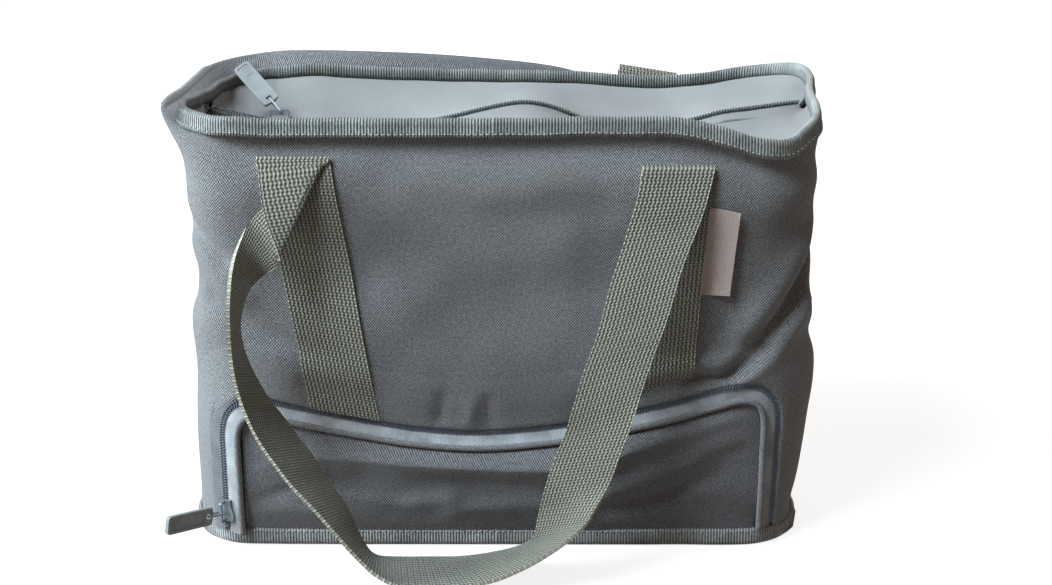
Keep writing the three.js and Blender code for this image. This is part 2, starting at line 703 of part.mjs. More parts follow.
// Zip line of the pocket on the front face: up the left leg, over the top and down the right leg
const pocketFoot = baseBinding + 2 * clearance;
const flatPoint = (along, height) => vector(along, height, 0);
const arch = [];
const cornerLow = (high) => high - pocketCorner;
const leftCorner = pocketCorner - pocketLeft;
const rightCorner = pocketRight - pocketCorner;
const legSteps = 3;
const bendSteps = 3;
const topSteps = 12;
const legHeights = [pocketFoot];
for (const step of [-7, -3, -1.5, 0, 1.5, 3, 9]) legHeights.push(pocketSliderRest + step);
legHeights.push((pocketSliderRest + cornerLow(pocketTopLeft)) / 2 + 4);
for (const height of legHeights) arch.push(flatPoint(-pocketLeft, height));
const leftSteps = legHeights.length;
const bendLeft = new THREE.QuadraticBezierCurve3(
  flatPoint(-pocketLeft, cornerLow(pocketTopLeft)),
  flatPoint(-pocketLeft, pocketTopLeft + 3),
  flatPoint(leftCorner, pocketTop(leftCorner)),
);
const bendRight = new THREE.QuadraticBezierCurve3(
  flatPoint(rightCorner, pocketTop(rightCorner)),
  flatPoint(pocketRight, pocketTopRight + 3),
  flatPoint(pocketRight, cornerLow(pocketTopRight)),
);
for (let step = 0; step < bendSteps; step += 1) arch.push(bendLeft.getPoint(step / bendSteps));
for (let step = 0; step < topSteps; step += 1) {
  const along = mix(leftCorner, rightCorner, step / topSteps);
  arch.push(flatPoint(along, pocketTop(along)));
}
for (let step = 0; step < bendSteps; step += 1) arch.push(bendRight.getPoint(step / bendSteps));
for (let step = 0; step <= legSteps; step += 1) {
  arch.push(flatPoint(pocketRight, mix(cornerLow(pocketTopRight), pocketFoot, step / legSteps)));
}
const inward = arch.map((point, i) => {
  const before = arch[Math.max(0, i - 1)];
  const after = arch[Math.min(arch.length - 1, i + 1)];
  const along = after.clone().sub(before).normalize();
  return vector(along.y, -along.x, 0);
});

// Place beside the zip line: distance towards the pocket's middle and distance out from the wall
function besideZip(i, into, out) {
  const flat = arch[i].clone().addScaledVector(inward[i], into);
  return onWall(flat.x, Math.max(flat.y, wallFoot), out, -1);
}
// The chain keeps its flat section, square to the wall's outward direction
function atChain(i, into, rise) {
  const { low, share } = cell(stations, arch[i].x);
  const ends = [low, low + 1].map((station) => outline(stations[station], -1).normal);
  const out = ends[0].lerp(ends[1], share).normalize();
  const shift = inward[i].clone().multiplyScalar(into);
  const place = onWall(arch[i].x, arch[i].y, pocketZipStand, -1);
  place.x += -out.y * shift.x + out.x * rise;
  place.y += out.x * shift.x + out.y * rise;
  place.z += shift.y;
  return place;
}
const pocketSpread = (i) => {
  const leg = i < leftSteps;
  return leg ? spreadFull * fall(pocketSliderRest - 3, pocketSliderRest + 3, arch[i].y) : 0;
};
const chainRise = pocketZipStand;
const tapeFootOut = sewnGap + tape / 2 + 0.75;
for (const [name, way] of [['pocket_outer_tape', -1], ['pocket_inner_tape', 1]]) {
  const sections = arch.map((point, i) => {
    const edgeOut = way < 0 ? tapeFootOut : chainRise + 1.4;
    const tip = way * (clearance / 2 + pocketSpread(i));
    const root = way * (chainHalf + pocketSpread(i));
    const edge = way * pocketTapeHalf;
    const line = (lift) => [
      atChain(i, tip, lift * chainHeight / 2),
      atChain(i, root, lift * chainHeight / 2),
      atChain(i, root + way * 0.4, lift * tape / 2),
      atChain(i, root + way * (sliderWall + 2 * slack), lift * tape / 2),
      besideZip(i, edge, edgeOut + lift * tape / 2),
    ];
    return [...line(1), ...line(-1).reverse()];
  });
  add(name, loft(sections), zipCloth);
}
const pipingInto = pocketTapeHalf + clearance + piping / 2;
const pipingOut = chainRise + 1.4;
add('pocket_piping', loft(arch.map((point, i) => {
  const at = (into, out) => besideZip(i, pipingInto + into * piping / 2, pipingOut + out * piping / 2);
  return [at(-0.87, 0.5), at(0, 1), at(0.87, 0.5), at(0.87, -0.5), at(0, -1), at(-0.87, -0.5)];
})), tapeCloth);

// Pocket panel: bulges from the piping; the part above the fold line opens, the part below stays on the wall
const panelInto = pipingInto + piping / 2 + clearance;
const rim = arch.map((point, i) => point.clone().addScaledVector(inward[i], panelInto));
const panelLeft = panelInto - pocketLeft;
const panelRight = pocketRight - panelInto;
const columnStep = 4;
const columns = [flatPoint(panelLeft, rim[leftSteps].y)];
for (const point of rim.slice(leftSteps + 1, rim.length - legSteps - 1)) {
  const clear = point.x > columns[columns.length - 1].x + columnStep && point.x < panelRight - columnStep;
  if (clear) columns.push(point);
}
columns.push(flatPoint(panelRight, rim[rim.length - legSteps - 1].y));
function panelOut(along, height, top) {
  const share = (height - pocketFoot) / (top - pocketFoot);
  const middle = (panelLeft + panelRight) / 2;
  const side = (along - middle) / (panelRight - middle);
  const hem = mix(clearance, pipingOut - fabric / 2, smooth(0, 0.45, share));
  const belly = 4 * share * (1 - share) * (1 - side ** 4);
  return hem + pocketBelly * belly;
}
function pocketPart(low, high, rows) {
  return loft(columns.map((column) => {
    const top = Math.min(high, column.y);
    const heights = [];
    for (let row = 0; row <= rows; row += 1) heights.push(mix(low, top, row / rows));
    const at = (height, grow) => onWall(column.x, height, panelOut(column.x, height, column.y) + grow, -1);
    return [
      ...heights.map((height) => at(height, fabric)),
      ...heights.slice().reverse().map((height) => at(height, 0)),
    ];
  }));
}
add('pocket_panel', pocketPart(pocketFold + clearance, Infinity, 4), shade);
add('pocket_panel_lower', pocketPart(pocketFoot, pocketFold - clearance, 2), shade);

// Zip slider: two plates joined by a post, a channel that narrows to the closed chain, and a bridge.
// Its own frame: +X to the closed chain, +Z out of the tape, origin in the middle of the chain.
const channelWide = spreadFull + chainHalf + slack;
const channelNarrow = chainHalf + slack;
const channelHeight = chainHeight / 2 + slack;
const slotHeight = tape / 2 + slack;
const sliderTop = channelHeight + sliderPlate;
const sliderHalf = sliderLength / 2;
const postBack = -sliderHalf + 0.4;
function yShape(grow, ends) {
  const wide = channelWide + grow;
  const narrow = channelNarrow + grow;
  const shape = new THREE.Shape();
  shape.moveTo(-sliderHalf - ends, -wide * (grow > 0 ? 0.82 : 1));
  shape.quadraticCurveTo(-sliderHalf / 2 - 1.2, -wide, -sliderHalf / 2 + 0.5, -wide);
  shape.lineTo(sliderHalf / 2, -narrow);
  shape.lineTo(sliderHalf + ends, -narrow);
  shape.lineTo(sliderHalf + ends, narrow);
  shape.lineTo(sliderHalf / 2, narrow);
  shape.lineTo(-sliderHalf / 2 + 0.5, wide);
  shape.quadraticCurveTo(-sliderHalf / 2 - 1.2, wide, -sliderHalf - ends, wide * (grow > 0 ? 0.82 : 1));
  shape.closePath();
  return shape;
}
function postHole() {
  const hole = new THREE.Path();
  hole.moveTo(postBack, 0);
  hole.lineTo(postBack + postLength * 0.35, -postWidth / 2);
  hole.lineTo(postBack + postLength, 0);
  hole.lineTo(postBack + postLength * 0.35, postWidth / 2);
  hole.closePath();
  return hole;
}
function sliderBody() {
  const body = toSolid(slab(yShape(sliderWall, 0), -sliderTop, sliderTop));
  const channel = yShape(0, 1);
  channel.holes.push(postHole());
  const slot = new THREE.Shape();
  const past = sliderLength;
  slot.moveTo(-past, -past);
  slot.lineTo(past, -past);
  slot.lineTo(past, past);
  slot.lineTo(-past, past);
  slot.closePath();
  slot.holes.push(postHole());
  const barLow = sliderTop + bridgeWindow;
  const legOuter = sliderHalf - 0.3;
  const legInner = legOuter - bridgeBar;
  const arm = new THREE.Shape();
  arm.moveTo(-legOuter, sliderTop - 0.4);
  arm.lineTo(-legOuter, barLow);
  arm.quadraticCurveTo(-legOuter, barLow + bridgeBar, -legInner, barLow + bridgeBar);
  arm.lineTo(legInner, barLow + bridgeBar);
  arm.quadraticCurveTo(legOuter, barLow + bridgeBar, legOuter, barLow);
  arm.lineTo(legOuter, sliderTop - 0.4);
  arm.lineTo(legInner, sliderTop - 0.4);
  arm.lineTo(legInner, barLow);
  arm.lineTo(-legInner, barLow);
  arm.lineTo(-legInner, sliderTop - 0.4);
  arm.closePath();
  const bridge = slab(arm, -bridgeWidth / 2, bridgeWidth / 2, 3).rotateX(Math.PI / 2);
  return toGeometry(body
    .subtract(toSolid(slab(channel, -channelHeight, channelHeight)))
    .subtract(toSolid(slab(slot, -slotHeight, slotHeight)))
    .add(toSolid(bridge)));
}

// Pull in its own frame: X across the tab, Z along it, origin in the middle of the bridge bar
function roundedBox(shape, low, high, halfSpan, radius) {
  shape.moveTo(-halfSpan + radius, low);
  shape.lineTo(halfSpan - radius, low);
  shape.quadraticCurveTo(halfSpan, low, halfSpan, low + radius);
  shape.lineTo(halfSpan, high - radius);
  shape.quadraticCurveTo(halfSpan, high, halfSpan - radius, high);
  shape.lineTo(-halfSpan + radius, high);
  shape.quadraticCurveTo(-halfSpan, high, -halfSpan, high - radius);
  shape.lineTo(-halfSpan, low + radius);
  shape.quadraticCurveTo(-halfSpan, low, -halfSpan + radius, low);
  return shape;
}
const barRadius = Math.hypot(bridgeBar, bridgeWidth) / 2;
const linkInner = barRadius + clearance + 0.1;
const linkLow = -(barRadius + linkWire + 0.8);
function pullLink() {
  const shape = roundedBox(new THREE.Shape(), linkLow, linkReach, linkInner + linkWire, 1.5);
  shape.holes.push(roundedBox(new THREE.Path(), linkLow + linkWire, linkReach - linkWire, linkInner, 0.8));
  return slab(shape, -linkWire / 2, linkWire / 2, 3).rotateX(Math.PI / 2).rotateZ(Math.PI / 2);
}
const tabFoot = linkReach - linkWire - 1.9;
function pullTab() {
  const tip = tabFoot + tabLength;
  const wide = tabWidth / 2;
  const shape = roundedBox(new THREE.Shape(), tabFoot, tip, wide, tabCorner);
  const eyeTop = linkReach + clearance + linkWire;
  shape.holes.push(roundedBox(new THREE.Path(), linkReach - linkWire - clearance, eyeTop, wide - 2 * tabBorder, 0.4));
  let solid = toSolid(slab(shape, -tabThick / 2, tabThick / 2, 3).rotateX(Math.PI / 2));
  const floor = tabThick / 2 - fieldDepth;
  const fieldTip = tip - tabBorder;
  for (const face of [-1, 1]) {
    const sunk = [floor * face, tabThick * face].sort((a, b) => a - b);
    const field = roundedBox(new THREE.Shape(), eyeTop + tabBorder, fieldTip, wide - tabBorder, 1);
    solid = solid.subtract(toSolid(slab(field, ...sunk, 2).rotateX(Math.PI / 2)));
    for (let rib = 0; rib < gripRibs; rib += 1) {
      const raised = [(floor - fieldDepth / 2) * face, (tabThick - fieldDepth / 2) / 2 * face].sort((a, b) => a - b);
      const bar = roundedBox(new THREE.Shape(), fieldTip - gripLength, fieldTip + fieldDepth, gripWidth / 2, 0.3);
      const grip = slab(bar, ...raised, 1).translate((rib - (gripRibs - 1) / 2) * 2 * gripWidth, 0, 0);
      solid = solid.add(toSolid(grip.rotateX(Math.PI / 2)));
    }
  }
  return toGeometry(solid);
}

// A slider with its pull, placed on its zip
const barHeight = sliderTop + bridgeWindow + bridgeBar / 2;
function zipSlider(name, place, lean, tilt) {
  add(`${name}_slider_body`, sliderBody(), metal, place);
  const swing = new THREE.Group();
  swing.position.set(0, 0, barHeight);
  swing.rotation.x = -THREE.MathUtils.degToRad(tilt);
  const sway = new THREE.Group();
  sway.rotation.y = -THREE.MathUtils.degToRad(lean);
  place.add(swing);
  swing.add(sway);
  add(`${name}_pull_link`, pullLink(), metal, sway);
  add(`${name}_pull_tab`, pullTab(), moulded, sway);
  group.add(place);
  return swing;
}
const topPlace = new THREE.Group();
topPlace.position.set(topSliderRest, 0, zipHeight(topSliderRest));
topPlace.rotation.y = -Math.atan(zipSlope);
const topSwing = zipSlider('top', topPlace, topPullLean, topPullTilt);

const pocketPlace = new THREE.Group();
const legAt = cell(stations, -pocketLeft);
const legEnds = [legAt.low, legAt.low + 1].map((station) => outline(stations[station], -1).normal);
const legOut = legEnds[0].lerp(legEnds[1], legAt.share).normalize();
pocketPlace.position.copy(onWall(-pocketLeft, pocketSliderRest, pocketZipStand, -1));
pocketPlace.setRotationFromMatrix(new THREE.Matrix4().makeBasis(
  vector(0, 0, 1),
  vector(legOut.y, -legOut.x, 0),
  vector(legOut.x, legOut.y, 0),
));
const pocketSwing = zipSlider('pocket', pocketPlace, pocketPullLean, pocketPullTilt);

// Pivots and slides of the moving pieces, for whoever sets the bag in motion
group.updateMatrixWorld(true);
const worldAt = (object) => object.getWorldPosition(vector(0, 0, 0)).toArray();
group.userData.pivots = {
  front_handle: [0, -frontFace - foldOut, foldHeight],
  rear_handle: [0, backFace + apexOut, apexHeight + webbing / 2],
  top_front_flap: rimPoint(0, -1).setZ(lidEdge).toArray(),
  top_rear_flap: rimPoint(0, 1).setZ(lidEdge).toArray(),
  top_slider: worldAt(topPlace),
  top_slide: [Math.cos(Math.atan(zipSlope)), 0, Math.sin(Math.atan(zipSlope))],
  top_travel: topSliderTravel,
  top_pull: worldAt(topSwing),
  pocket_flap: onWall(0, pocketFold, panelOut(0, pocketFold, pocketTop(0) - panelInto), -1).toArray(),
  pocket_slider: worldAt(pocketPlace),
  pocket_travel: pocketSliderTravel,
  pocket_pull: worldAt(pocketSwing),
};

export default group;
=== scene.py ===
import bisect
import math

import bmesh
import bpy
from mathutils import Matrix, Vector, noise


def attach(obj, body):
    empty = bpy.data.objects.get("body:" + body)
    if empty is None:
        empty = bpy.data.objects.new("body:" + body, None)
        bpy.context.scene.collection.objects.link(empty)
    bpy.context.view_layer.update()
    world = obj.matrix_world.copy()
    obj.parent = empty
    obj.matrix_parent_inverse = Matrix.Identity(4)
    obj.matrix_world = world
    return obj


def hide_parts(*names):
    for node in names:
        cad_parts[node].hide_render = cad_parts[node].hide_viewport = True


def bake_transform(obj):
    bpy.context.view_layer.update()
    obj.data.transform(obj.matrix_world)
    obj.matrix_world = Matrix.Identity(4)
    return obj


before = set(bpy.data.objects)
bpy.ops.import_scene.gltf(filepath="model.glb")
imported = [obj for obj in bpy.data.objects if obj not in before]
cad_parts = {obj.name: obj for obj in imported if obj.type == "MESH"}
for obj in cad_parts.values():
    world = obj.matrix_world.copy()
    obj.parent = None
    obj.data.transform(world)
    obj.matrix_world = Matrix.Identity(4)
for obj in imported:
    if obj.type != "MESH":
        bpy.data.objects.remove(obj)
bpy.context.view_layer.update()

# Sizes are in millimetres and become metres where a mesh is placed. Bends and lights are in metres
MM = 0.001
HALF_WIDTH, HALF_DEPTH, CORNER = 169.0, 83.0, 38.0
FRONT_FLAT = HALF_WIDTH - CORNER
SIDE_FLAT = HALF_DEPTH - CORNER
CORNER_ARC = CORNER * math.pi / 2
QUARTER = FRONT_FLAT + CORNER_ARC + SIDE_FLAT
ROUND = 4 * QUARTER
FRONT, BACK = -1, 1
CLOTH_TOP = 222.0  # length of the wall cloth up to the rim
SHOULDER_FOOT = 190.0  # where the cloth starts to roll over
SHOULDER_CLOTH = CLOTH_TOP - SHOULDER_FOOT
CREST = 0.66  # share of the shoulder's cloth below its crest
RIM_LEVEL = 217.5
LAYER_FOOT, FOAM_TOP, FILM_TOP = 6.8, 206.0, 207.0
HALF_WEB = 17.5
COIL_PITCH, COIL_WIRE = 1.5, 0.42
RIB, RIB_PITCH = 0.28, 1.55

# How far the half empty sides stand out or fall in, by height up the cloth
LEFT_SIDE = [
    (0, -5), (20, -4.8), (45, -4.5), (64, -6.2), (87, -8), (103, -7.4), (114, -6.3), (123, -7.2),
    (133, -11), (150, -13.2), (162, -12.8), (176, -11), (189, -11), (194, -10.6), (198, -8.6), (201, -5.6),
    (204.3, -2), (211, 2), (222, 3),
]
RIGHT_SIDE = [
    (0, -6), (16, -7), (26, -4.8), (47, -1.4), (69, 0.8), (84, 1.8), (98, 1.3), (111, -2.2), (121, -1),
    (137, -3.6), (152, -3.8), (173, -5.8), (182, -4.2), (192, -2.4), (203, -2.8), (212, -0.7), (222, 4),
]
FRONT_LEAN = [
    (0, 0), (140, 0), (160, 1.4), (178, 3.8), (190, 5), (198, 4.2), (206, 1.4), (214, -1.4), (222, -3),
]

# The rim's rise and its pull inwards along each face, and the cloth shoulder beside it
RIM_RISE = {
    FRONT: [
        (-236, 2), (-212, 3.5), (-190, 4.5), (-165, 3), (-140, 1.2), (0, 1), (60, 1.6), (92, 1), (112, -3),
        (130, -8.6), (147, -9.6), (162, -5), (182, 0), (236, 4),
    ],
    BACK: [
        (-236, 2), (-190, 2.5), (-150, 5), (-120, 7), (-60, 4), (0, 2), (24, 2), (60, 0.2), (83, -1.6),
        (102, -1.4), (122, 0.4), (145, 4), (172, 8.6), (200, 8), (236, 4),
    ],
}
RIM_PULL = {
    FRONT: [
        (-236, 9.5), (-190, 9), (-165, 6), (-140, 2), (-120, 0), (130, 0), (165, 3), (190, 3.5), (215, 1),
        (236, -1.5),
    ],
    BACK: [
        (-236, 9.5), (-200, 10), (-165, 12), (-130, 13), (-95, 9), (-55, 4), (0, 2), (60, 1), (120, 0),
        (150, -4), (180, -7), (210, -6), (236, -1.5),
    ],
}
SHOULDER = {
    FRONT: [(-236, 1), (-190, 1), (-162, 0.6), (-140, 0.25), (-118, 0.1), (-60, 0.08), (236, 0.1)],
    BACK: [
        (-236, 1), (-60, 1), (0, 0.95), (35, 0.85), (60, 0.6), (80, 0.3), (100, 0.1), (150, 0), (236, 0.1),
    ],
}
SHOULDER_TOP = {
    FRONT: [(-236, 232), (-190, 230), (-162, 225), (-140, 222), (236, 222)],
    BACK: [
        (-236, 232), (-190, 235), (-150, 239.5), (-123, 241.6), (-60, 240.4), (-5, 237.7), (35, 235),
        (70, 232), (100, 227), (236, 222),
    ],
}

# Folds of the cloth: a route, its height over the cloth and its half width
FRONT_FOLDS = [
    ([(178, 156), (160, 141), (141, 120), (121, 98)], -5.2, 4.6),
    ([(168, 132), (150, 113), (134, 102), (123, 94)], 3.2, 6.0),
    ([(100, 95.5), (119, 94.5), (130, 101), (138, 110)], -4.0, 3.2),
    ([(103, 103), (119, 102), (127, 108)], 3.0, 5.0),
    ([(176, 172), (158, 157), (142, 138), (128, 120)], 2.6, 8.0),
    ([(-172, 174), (-152, 168), (-137, 157)], -2.8, 5.0),
    ([(-168, 160), (-146, 152), (-128, 138)], 1.8, 7.0),
    ([(-146, 134), (-126, 124), (-98, 109)], -2.6, 6.0),
    ([(-150, 122), (-128, 110), (-104, 98)], 2.0, 8.0),
    ([(-29, 72), (-27, 84)], -1.5, 3.6),
    ([(-14, 70), (-12, 80)], 1.2, 3.6),
    ([(-3, 69), (-4, 82)], -1.6, 3.6),
    ([(52, 74), (70, 96), (84, 126)], -1.6, 9.0),
    ([(-60, 128), (-20, 150), (34, 158)], 1.5, 16.0),
    ([(-52, 196), (0, 178), (52, 186)], -1.2, 10.0),
]
BACK_FOLDS = [
    ([(-176, 150), (-150, 138), (-120, 112)], -3.2, 6.0),
    ([(176, 140), (150, 124), (118, 110)], -3.2, 6.0),
    ([(-60, 40), (-20, 60), (30, 56)], 1.8, 14.0),
    ([(-40, 170), (10, 150), (56, 160)], -1.8, 12.0),
    ([(40, 90), (60, 110), (66, 140)], 1.4, 10.0),
]


def ease(low, high, value):
    share = min(1.0, max(0.0, (value - low) / (high - low)))
    return share * share * (3.0 - 2.0 * share)


def bell(value):
    return math.exp(-value * value)


def mix(a, b, share):
    return a + (b - a) * share


def cubic(p, q, leave, arrive, t):
    """From p to q, leaving and arriving at given slopes."""
    back = 1 - t
    return p * (1 + 2 * t) * back ** 2 + leave * t * back ** 2 + q * t * t * (3 - 2 * t) + arrive * t * t * (t - 1)


def curve(table, value):
    """Smooth curve through a table's points."""
    if value <= table[0][0]:
        return table[0][1]
    if value >= table[-1][0]:
        return table[-1][1]
    i = bisect.bisect_right(table, (value, math.inf)) - 1

    def slope(k):
        low, high = max(0, k - 1), min(len(table) - 1, k + 1)
        return (table[high][1] - table[low][1]) / (table[high][0] - table[low][0])

    (x0, y0), (x1, y1) = table[i], table[i + 1]
    wide = x1 - x0
    return cubic(y0, y1, slope(i) * wide, slope(i + 1) * wide, (value - x0) / wide)


def folds(table, along, height):
    """Height of the folds at a place on the cloth."""
    total = 0.0
    for route, rise, half in table:
        nearest = 1e9
        for (ax, ay), (bx, by) in zip(route, route[1:]):
            dx, dy = bx - ax, by - ay
            t = min(1.0, max(0.0, ((along - ax) * dx + (height - ay) * dy) / (dx * dx + dy * dy)))
            nearest = min(nearest, math.hypot(along - ax - t * dx, height - ay - t * dy))
        if nearest < 3.2 * half:
            total += rise * bell(nearest / half)
    return total


def rough(point, scale, seed):
    return noise.noise(Vector((point[0] / scale + seed, point[1] / scale, point[2] / scale)))


# Pocket: an arched zip low on the front
POCKET_LEFT, POCKET_RIGHT, POCKET_FOOT = -142.0, 147.0, 8.0


def pocket_top(along):
    corner, high = (-118.0, 83.0) if along < -8 else (123.0, 91.0)
    return mix(64.0, high, min(1.0, abs((along + 8) / (corner + 8))) ** 1.7)


def bezier(a, b, c, count):
    return [
        tuple((1 - t) ** 2 * p + 2 * t * (1 - t) * q + t * t * r for p, q, r in zip(a, b, c))
        for t in (k / count for k in range(1, count))
    ]


def arch_points():
    route = [(POCKET_LEFT, POCKET_FOOT + k * 3.0) for k in range(18)]
    route += bezier((POCKET_LEFT, 59), (POCKET_LEFT, 86), (-118, 83), 14)
    route += [(a, pocket_top(a)) for a in range(-118, 124, 3)]
    route += bezier((123, 91), (POCKET_RIGHT, 94), (POCKET_RIGHT, 67), 14)
    route += [(POCKET_RIGHT, z) for z in range(67, int(POCKET_FOOT) - 1, -3)]
    return route


ARCH = arch_points()
ARCH_AT = [0.0]
for (ax, ay), (bx, by) in zip(ARCH, ARCH[1:]):
    ARCH_AT.append(ARCH_AT[-1] + math.hypot(bx - ax, by - ay))
ARCH_LENGTH = ARCH_AT[-1]


def arch(length):
    """Point of the pocket's zip line and the direction into the pocket."""
    i = min(len(ARCH) - 2, max(0, bisect.bisect_right(ARCH_AT, length) - 1))
    t = (length - ARCH_AT[i]) / (ARCH_AT[i + 1] - ARCH_AT[i])
    point = [mix(a, b, t) for a, b in zip(ARCH[i], ARCH[i + 1])]

    def direction(k):
        a, b = ARCH[max(0, k - 2)], ARCH[min(len(ARCH) - 1, k + 2)]
        return Vector((b[0] - a[0], b[1] - a[1])).normalized()

    way = direction(i).lerp(direction(i + 1), t).normalized()
    return point[0], point[1], way.y, -way.x


def outline(along, face):
    """Point and normal of the bag's plan, along one face from its middle."""
    reach = abs(along)
    turn = min(math.pi / 2, max(0.0, (reach - FRONT_FLAT) / CORNER))
    x = min(reach, FRONT_FLAT) + CORNER * math.sin(turn)
    y = SIDE_FLAT + CORNER * math.cos(turn) - max(0.0, reach - FRONT_FLAT - CORNER_ARC)
    side = math.copysign(1.0, along)
    return (side * x, face * y), (side * math.sin(turn), face * math.cos(turn))


def unrolled(level, top):
    """Height along the cloth at which its rolled shoulder reaches a level."""
    if level <= SHOULDER_FOOT:
        return level
    turn = math.asin(min(1.0, (level - SHOULDER_FOOT) / (top - SHOULDER_FOOT)))
    return SHOULDER_FOOT + SHOULDER_CLOTH * CREST * 2 / math.pi * turn


def wall(along, height, out, face, inner=False):
    """Point of the sagging wall, out from its cloth. Inner layers stay inside the rolled shoulder."""
    base, normal = outline(along, face)
    reach = abs(along)
    side = ease(FRONT_FLAT - 12, FRONT_FLAT + CORNER_ARC, reach)
    broad = 1.0 - ease(59, FRONT_FLAT, reach)
    roll = curve(SHOULDER[face], along)
    top = curve(SHOULDER_TOP[face], along)
    table = LEFT_SIDE if along < 0 else RIGHT_SIDE
    swell = side * curve(table, mix(height, unrolled(height, top), roll) if inner else height)
    if face == FRONT:
        above = height - pocket_top(along)
        swell += broad * (3.2 * bell((above - 36) / 28) - 3.6 * bell(above / 14))
        swell += (1.0 - side) * curve(FRONT_LEAN, height)
        swell += folds(FRONT_FOLDS, along, height)
    else:
        swell += broad * 3.3 * bell((height - 114) / 52)
        swell += folds(BACK_FOLDS, along, height)
    spot = (base[0], base[1], height)
    calm = ease(4, 30, height) * (1.0 - ease(196, 214, height))
    swell += calm * (1.3 * rough(spot, 62, 3.1) + 0.5 * rough(spot, 21, 9.7))
    pull = curve(RIM_PULL[face], along)
    rise = curve(RIM_RISE[face], along)
    share = min(1.0, max(0.0, (height - SHOULDER_FOOT) / SHOULDER_CLOTH))
    if inner:
        roll, rise = 0.0, min(0.0, rise)
        pull = max(0.0, pull) * ease(170, 205, height)
    away = swell * (1.0 - ease(mix(204, 211, roll), CLOTH_TOP, height)) + out
    away -= pull if inner else pull * ease(mix(192, 211, roll), CLOTH_TOP, height)
    level = height + rise * ease(150, CLOTH_TOP, height)
    if share > 0:
        end = 216 + rise
        if share < CREST:
            rolled = SHOULDER_FOOT + (top - SHOULDER_FOOT) * math.sin(math.pi / 2 * share / CREST)
        else:
            rolled = end + (top - end) * math.cos(math.pi / 2 * (share - CREST) / (1 - CREST))
        level = mix(level, rolled, roll)
    return (base[0] + normal[0] * away, base[1] + normal[1] * away, level)


def rim(along, face, inward, up):
    """Point beside the rim, inwards and up from its line."""
    base, normal = outline(along, face)
    step = curve(RIM_PULL[face], along) + inward
    spot = (base[0], base[1], RIM_LEVEL)
    slack = 1.0 + 1.6 * ease(-90, -150, along)
    rise = curve(RIM_RISE[face], along) + slack * 0.7 * rough(spot, 22, 4.4)
    step += slack * 0.9 * rough(spot, 25, 7.3)
    return (base[0] - normal[0] * step, base[1] - normal[1] * step, RIM_LEVEL + rise + up)


def around(length):
    """Face and place along it for a length right round the bag, from the middle of the front."""
    length %= ROUND
    if length < QUARTER:
        return length, FRONT
    if length < 3 * QUARTER:
        return 2 * QUARTER - length, BACK
    return length - ROUND, FRONT


# Making meshes
def laid(columns, rows, place, thick=0.0, closed=False):
    """Grid of cloth that place(u, v) lays out: a point and its mark on the cloth, in mm."""
    bm = bmesh.new()
    bmesh.ops.create_grid(bm, x_segments=columns, y_segments=rows, size=0.5)
    weave = bm.loops.layers.uv.new("Cloth")
    bm.verts.index_update()
    marks = []
    for vert in bm.verts:
        point, mark = place(vert.co.x + 0.5, vert.co.y + 0.5)
        vert.co = Vector(point) * MM
        marks.append(mark)
    for face in bm.faces:
        face.smooth = True
        for loop in face.loops:
            loop[weave].uv = marks[loop.vert.index]
    if closed:
        bmesh.ops.remove_doubles(bm, verts=bm.verts[:], dist=2e-6)
    if thick:
        thicken(bm, weave, marks, thick * MM)
    return bm


def thicken(bm, weave, marks, thick):
    """The sheet's other side straight behind it, and flat edges between the two."""
    bm.normal_update()
    sheet = bm.verts[:]
    borders = [e.link_loops[0] for e in bm.edges if e.is_boundary]
    borders = [(loop.vert, loop.link_loop_next.vert) for loop in borders]
    twin = bmesh.ops.duplicate(bm, geom=sheet + bm.edges[:] + bm.faces[:])["vert_map"]
    behind = {twin[vert] for vert in sheet}
    bmesh.ops.reverse_faces(bm, faces=[f for f in bm.faces if f.verts[0] in behind])
    for vert in sheet:
        twin[vert].co = vert.co - vert.normal * thick
    for a, b in borders:
        face = bm.faces.new([bm.verts.new(vert.co) for vert in (b, a, twin[a], twin[b])])
        for loop, mark in zip(face.loops, (marks[b.index], marks[a.index], marks[a.index], marks[b.index])):
            loop[weave].uv = mark


def outward(bm):
    bmesh.ops.recalc_face_normals(bm, faces=bm.faces[:])
    return bm


def join(bm, other):
    """Add another mesh to this one."""
    mesh = bpy.data.meshes.new("joined")
    other.to_mesh(mesh)
    other.free()
    bm.from_mesh(mesh)
    bpy.data.meshes.remove(mesh)


def piece(name, bm, coat, body=None, nodes=()):
    """A named object of the scene, on its body and in place of its CAD nodes."""
    mesh = bpy.data.meshes.new(name)
    bm.to_mesh(mesh)
    bm.free()
    mesh.materials.append(coat)
    obj = bpy.data.objects.new(name, mesh)
    bpy.context.scene.collection.objects.link(obj)
    if nodes:
        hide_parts(*nodes)
    if body:
        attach(obj, body)
    return obj


def tube(route, radius, sides):
    """Round tube along a route of points."""
    points = [Vector(p) for p in route]
    last = len(points) - 1
    ways = [(points[min(last, k + 1)] - points[max(0, k - 1)]).normalized() for k in range(last + 1)]
    side = ways[0].orthogonal().normalized()
    frames = []
    for way in ways:
        side = (side - way * side.dot(way)).normalized()
        frames.append((side.copy(), way.cross(side)))

    def place(u, v):
        k = round(u * last)
        turn = 2 * math.pi * v
        a, b = frames[k]
        out = a * math.cos(turn) + b * math.sin(turn)
        return points[k] + out * radius, (float(k), turn * radius)

    bm = laid(last, sides, place, closed=True)
    bmesh.ops.holes_fill(bm, edges=[e for e in bm.edges if e.is_boundary], sides=sides)
    return outward(bm)


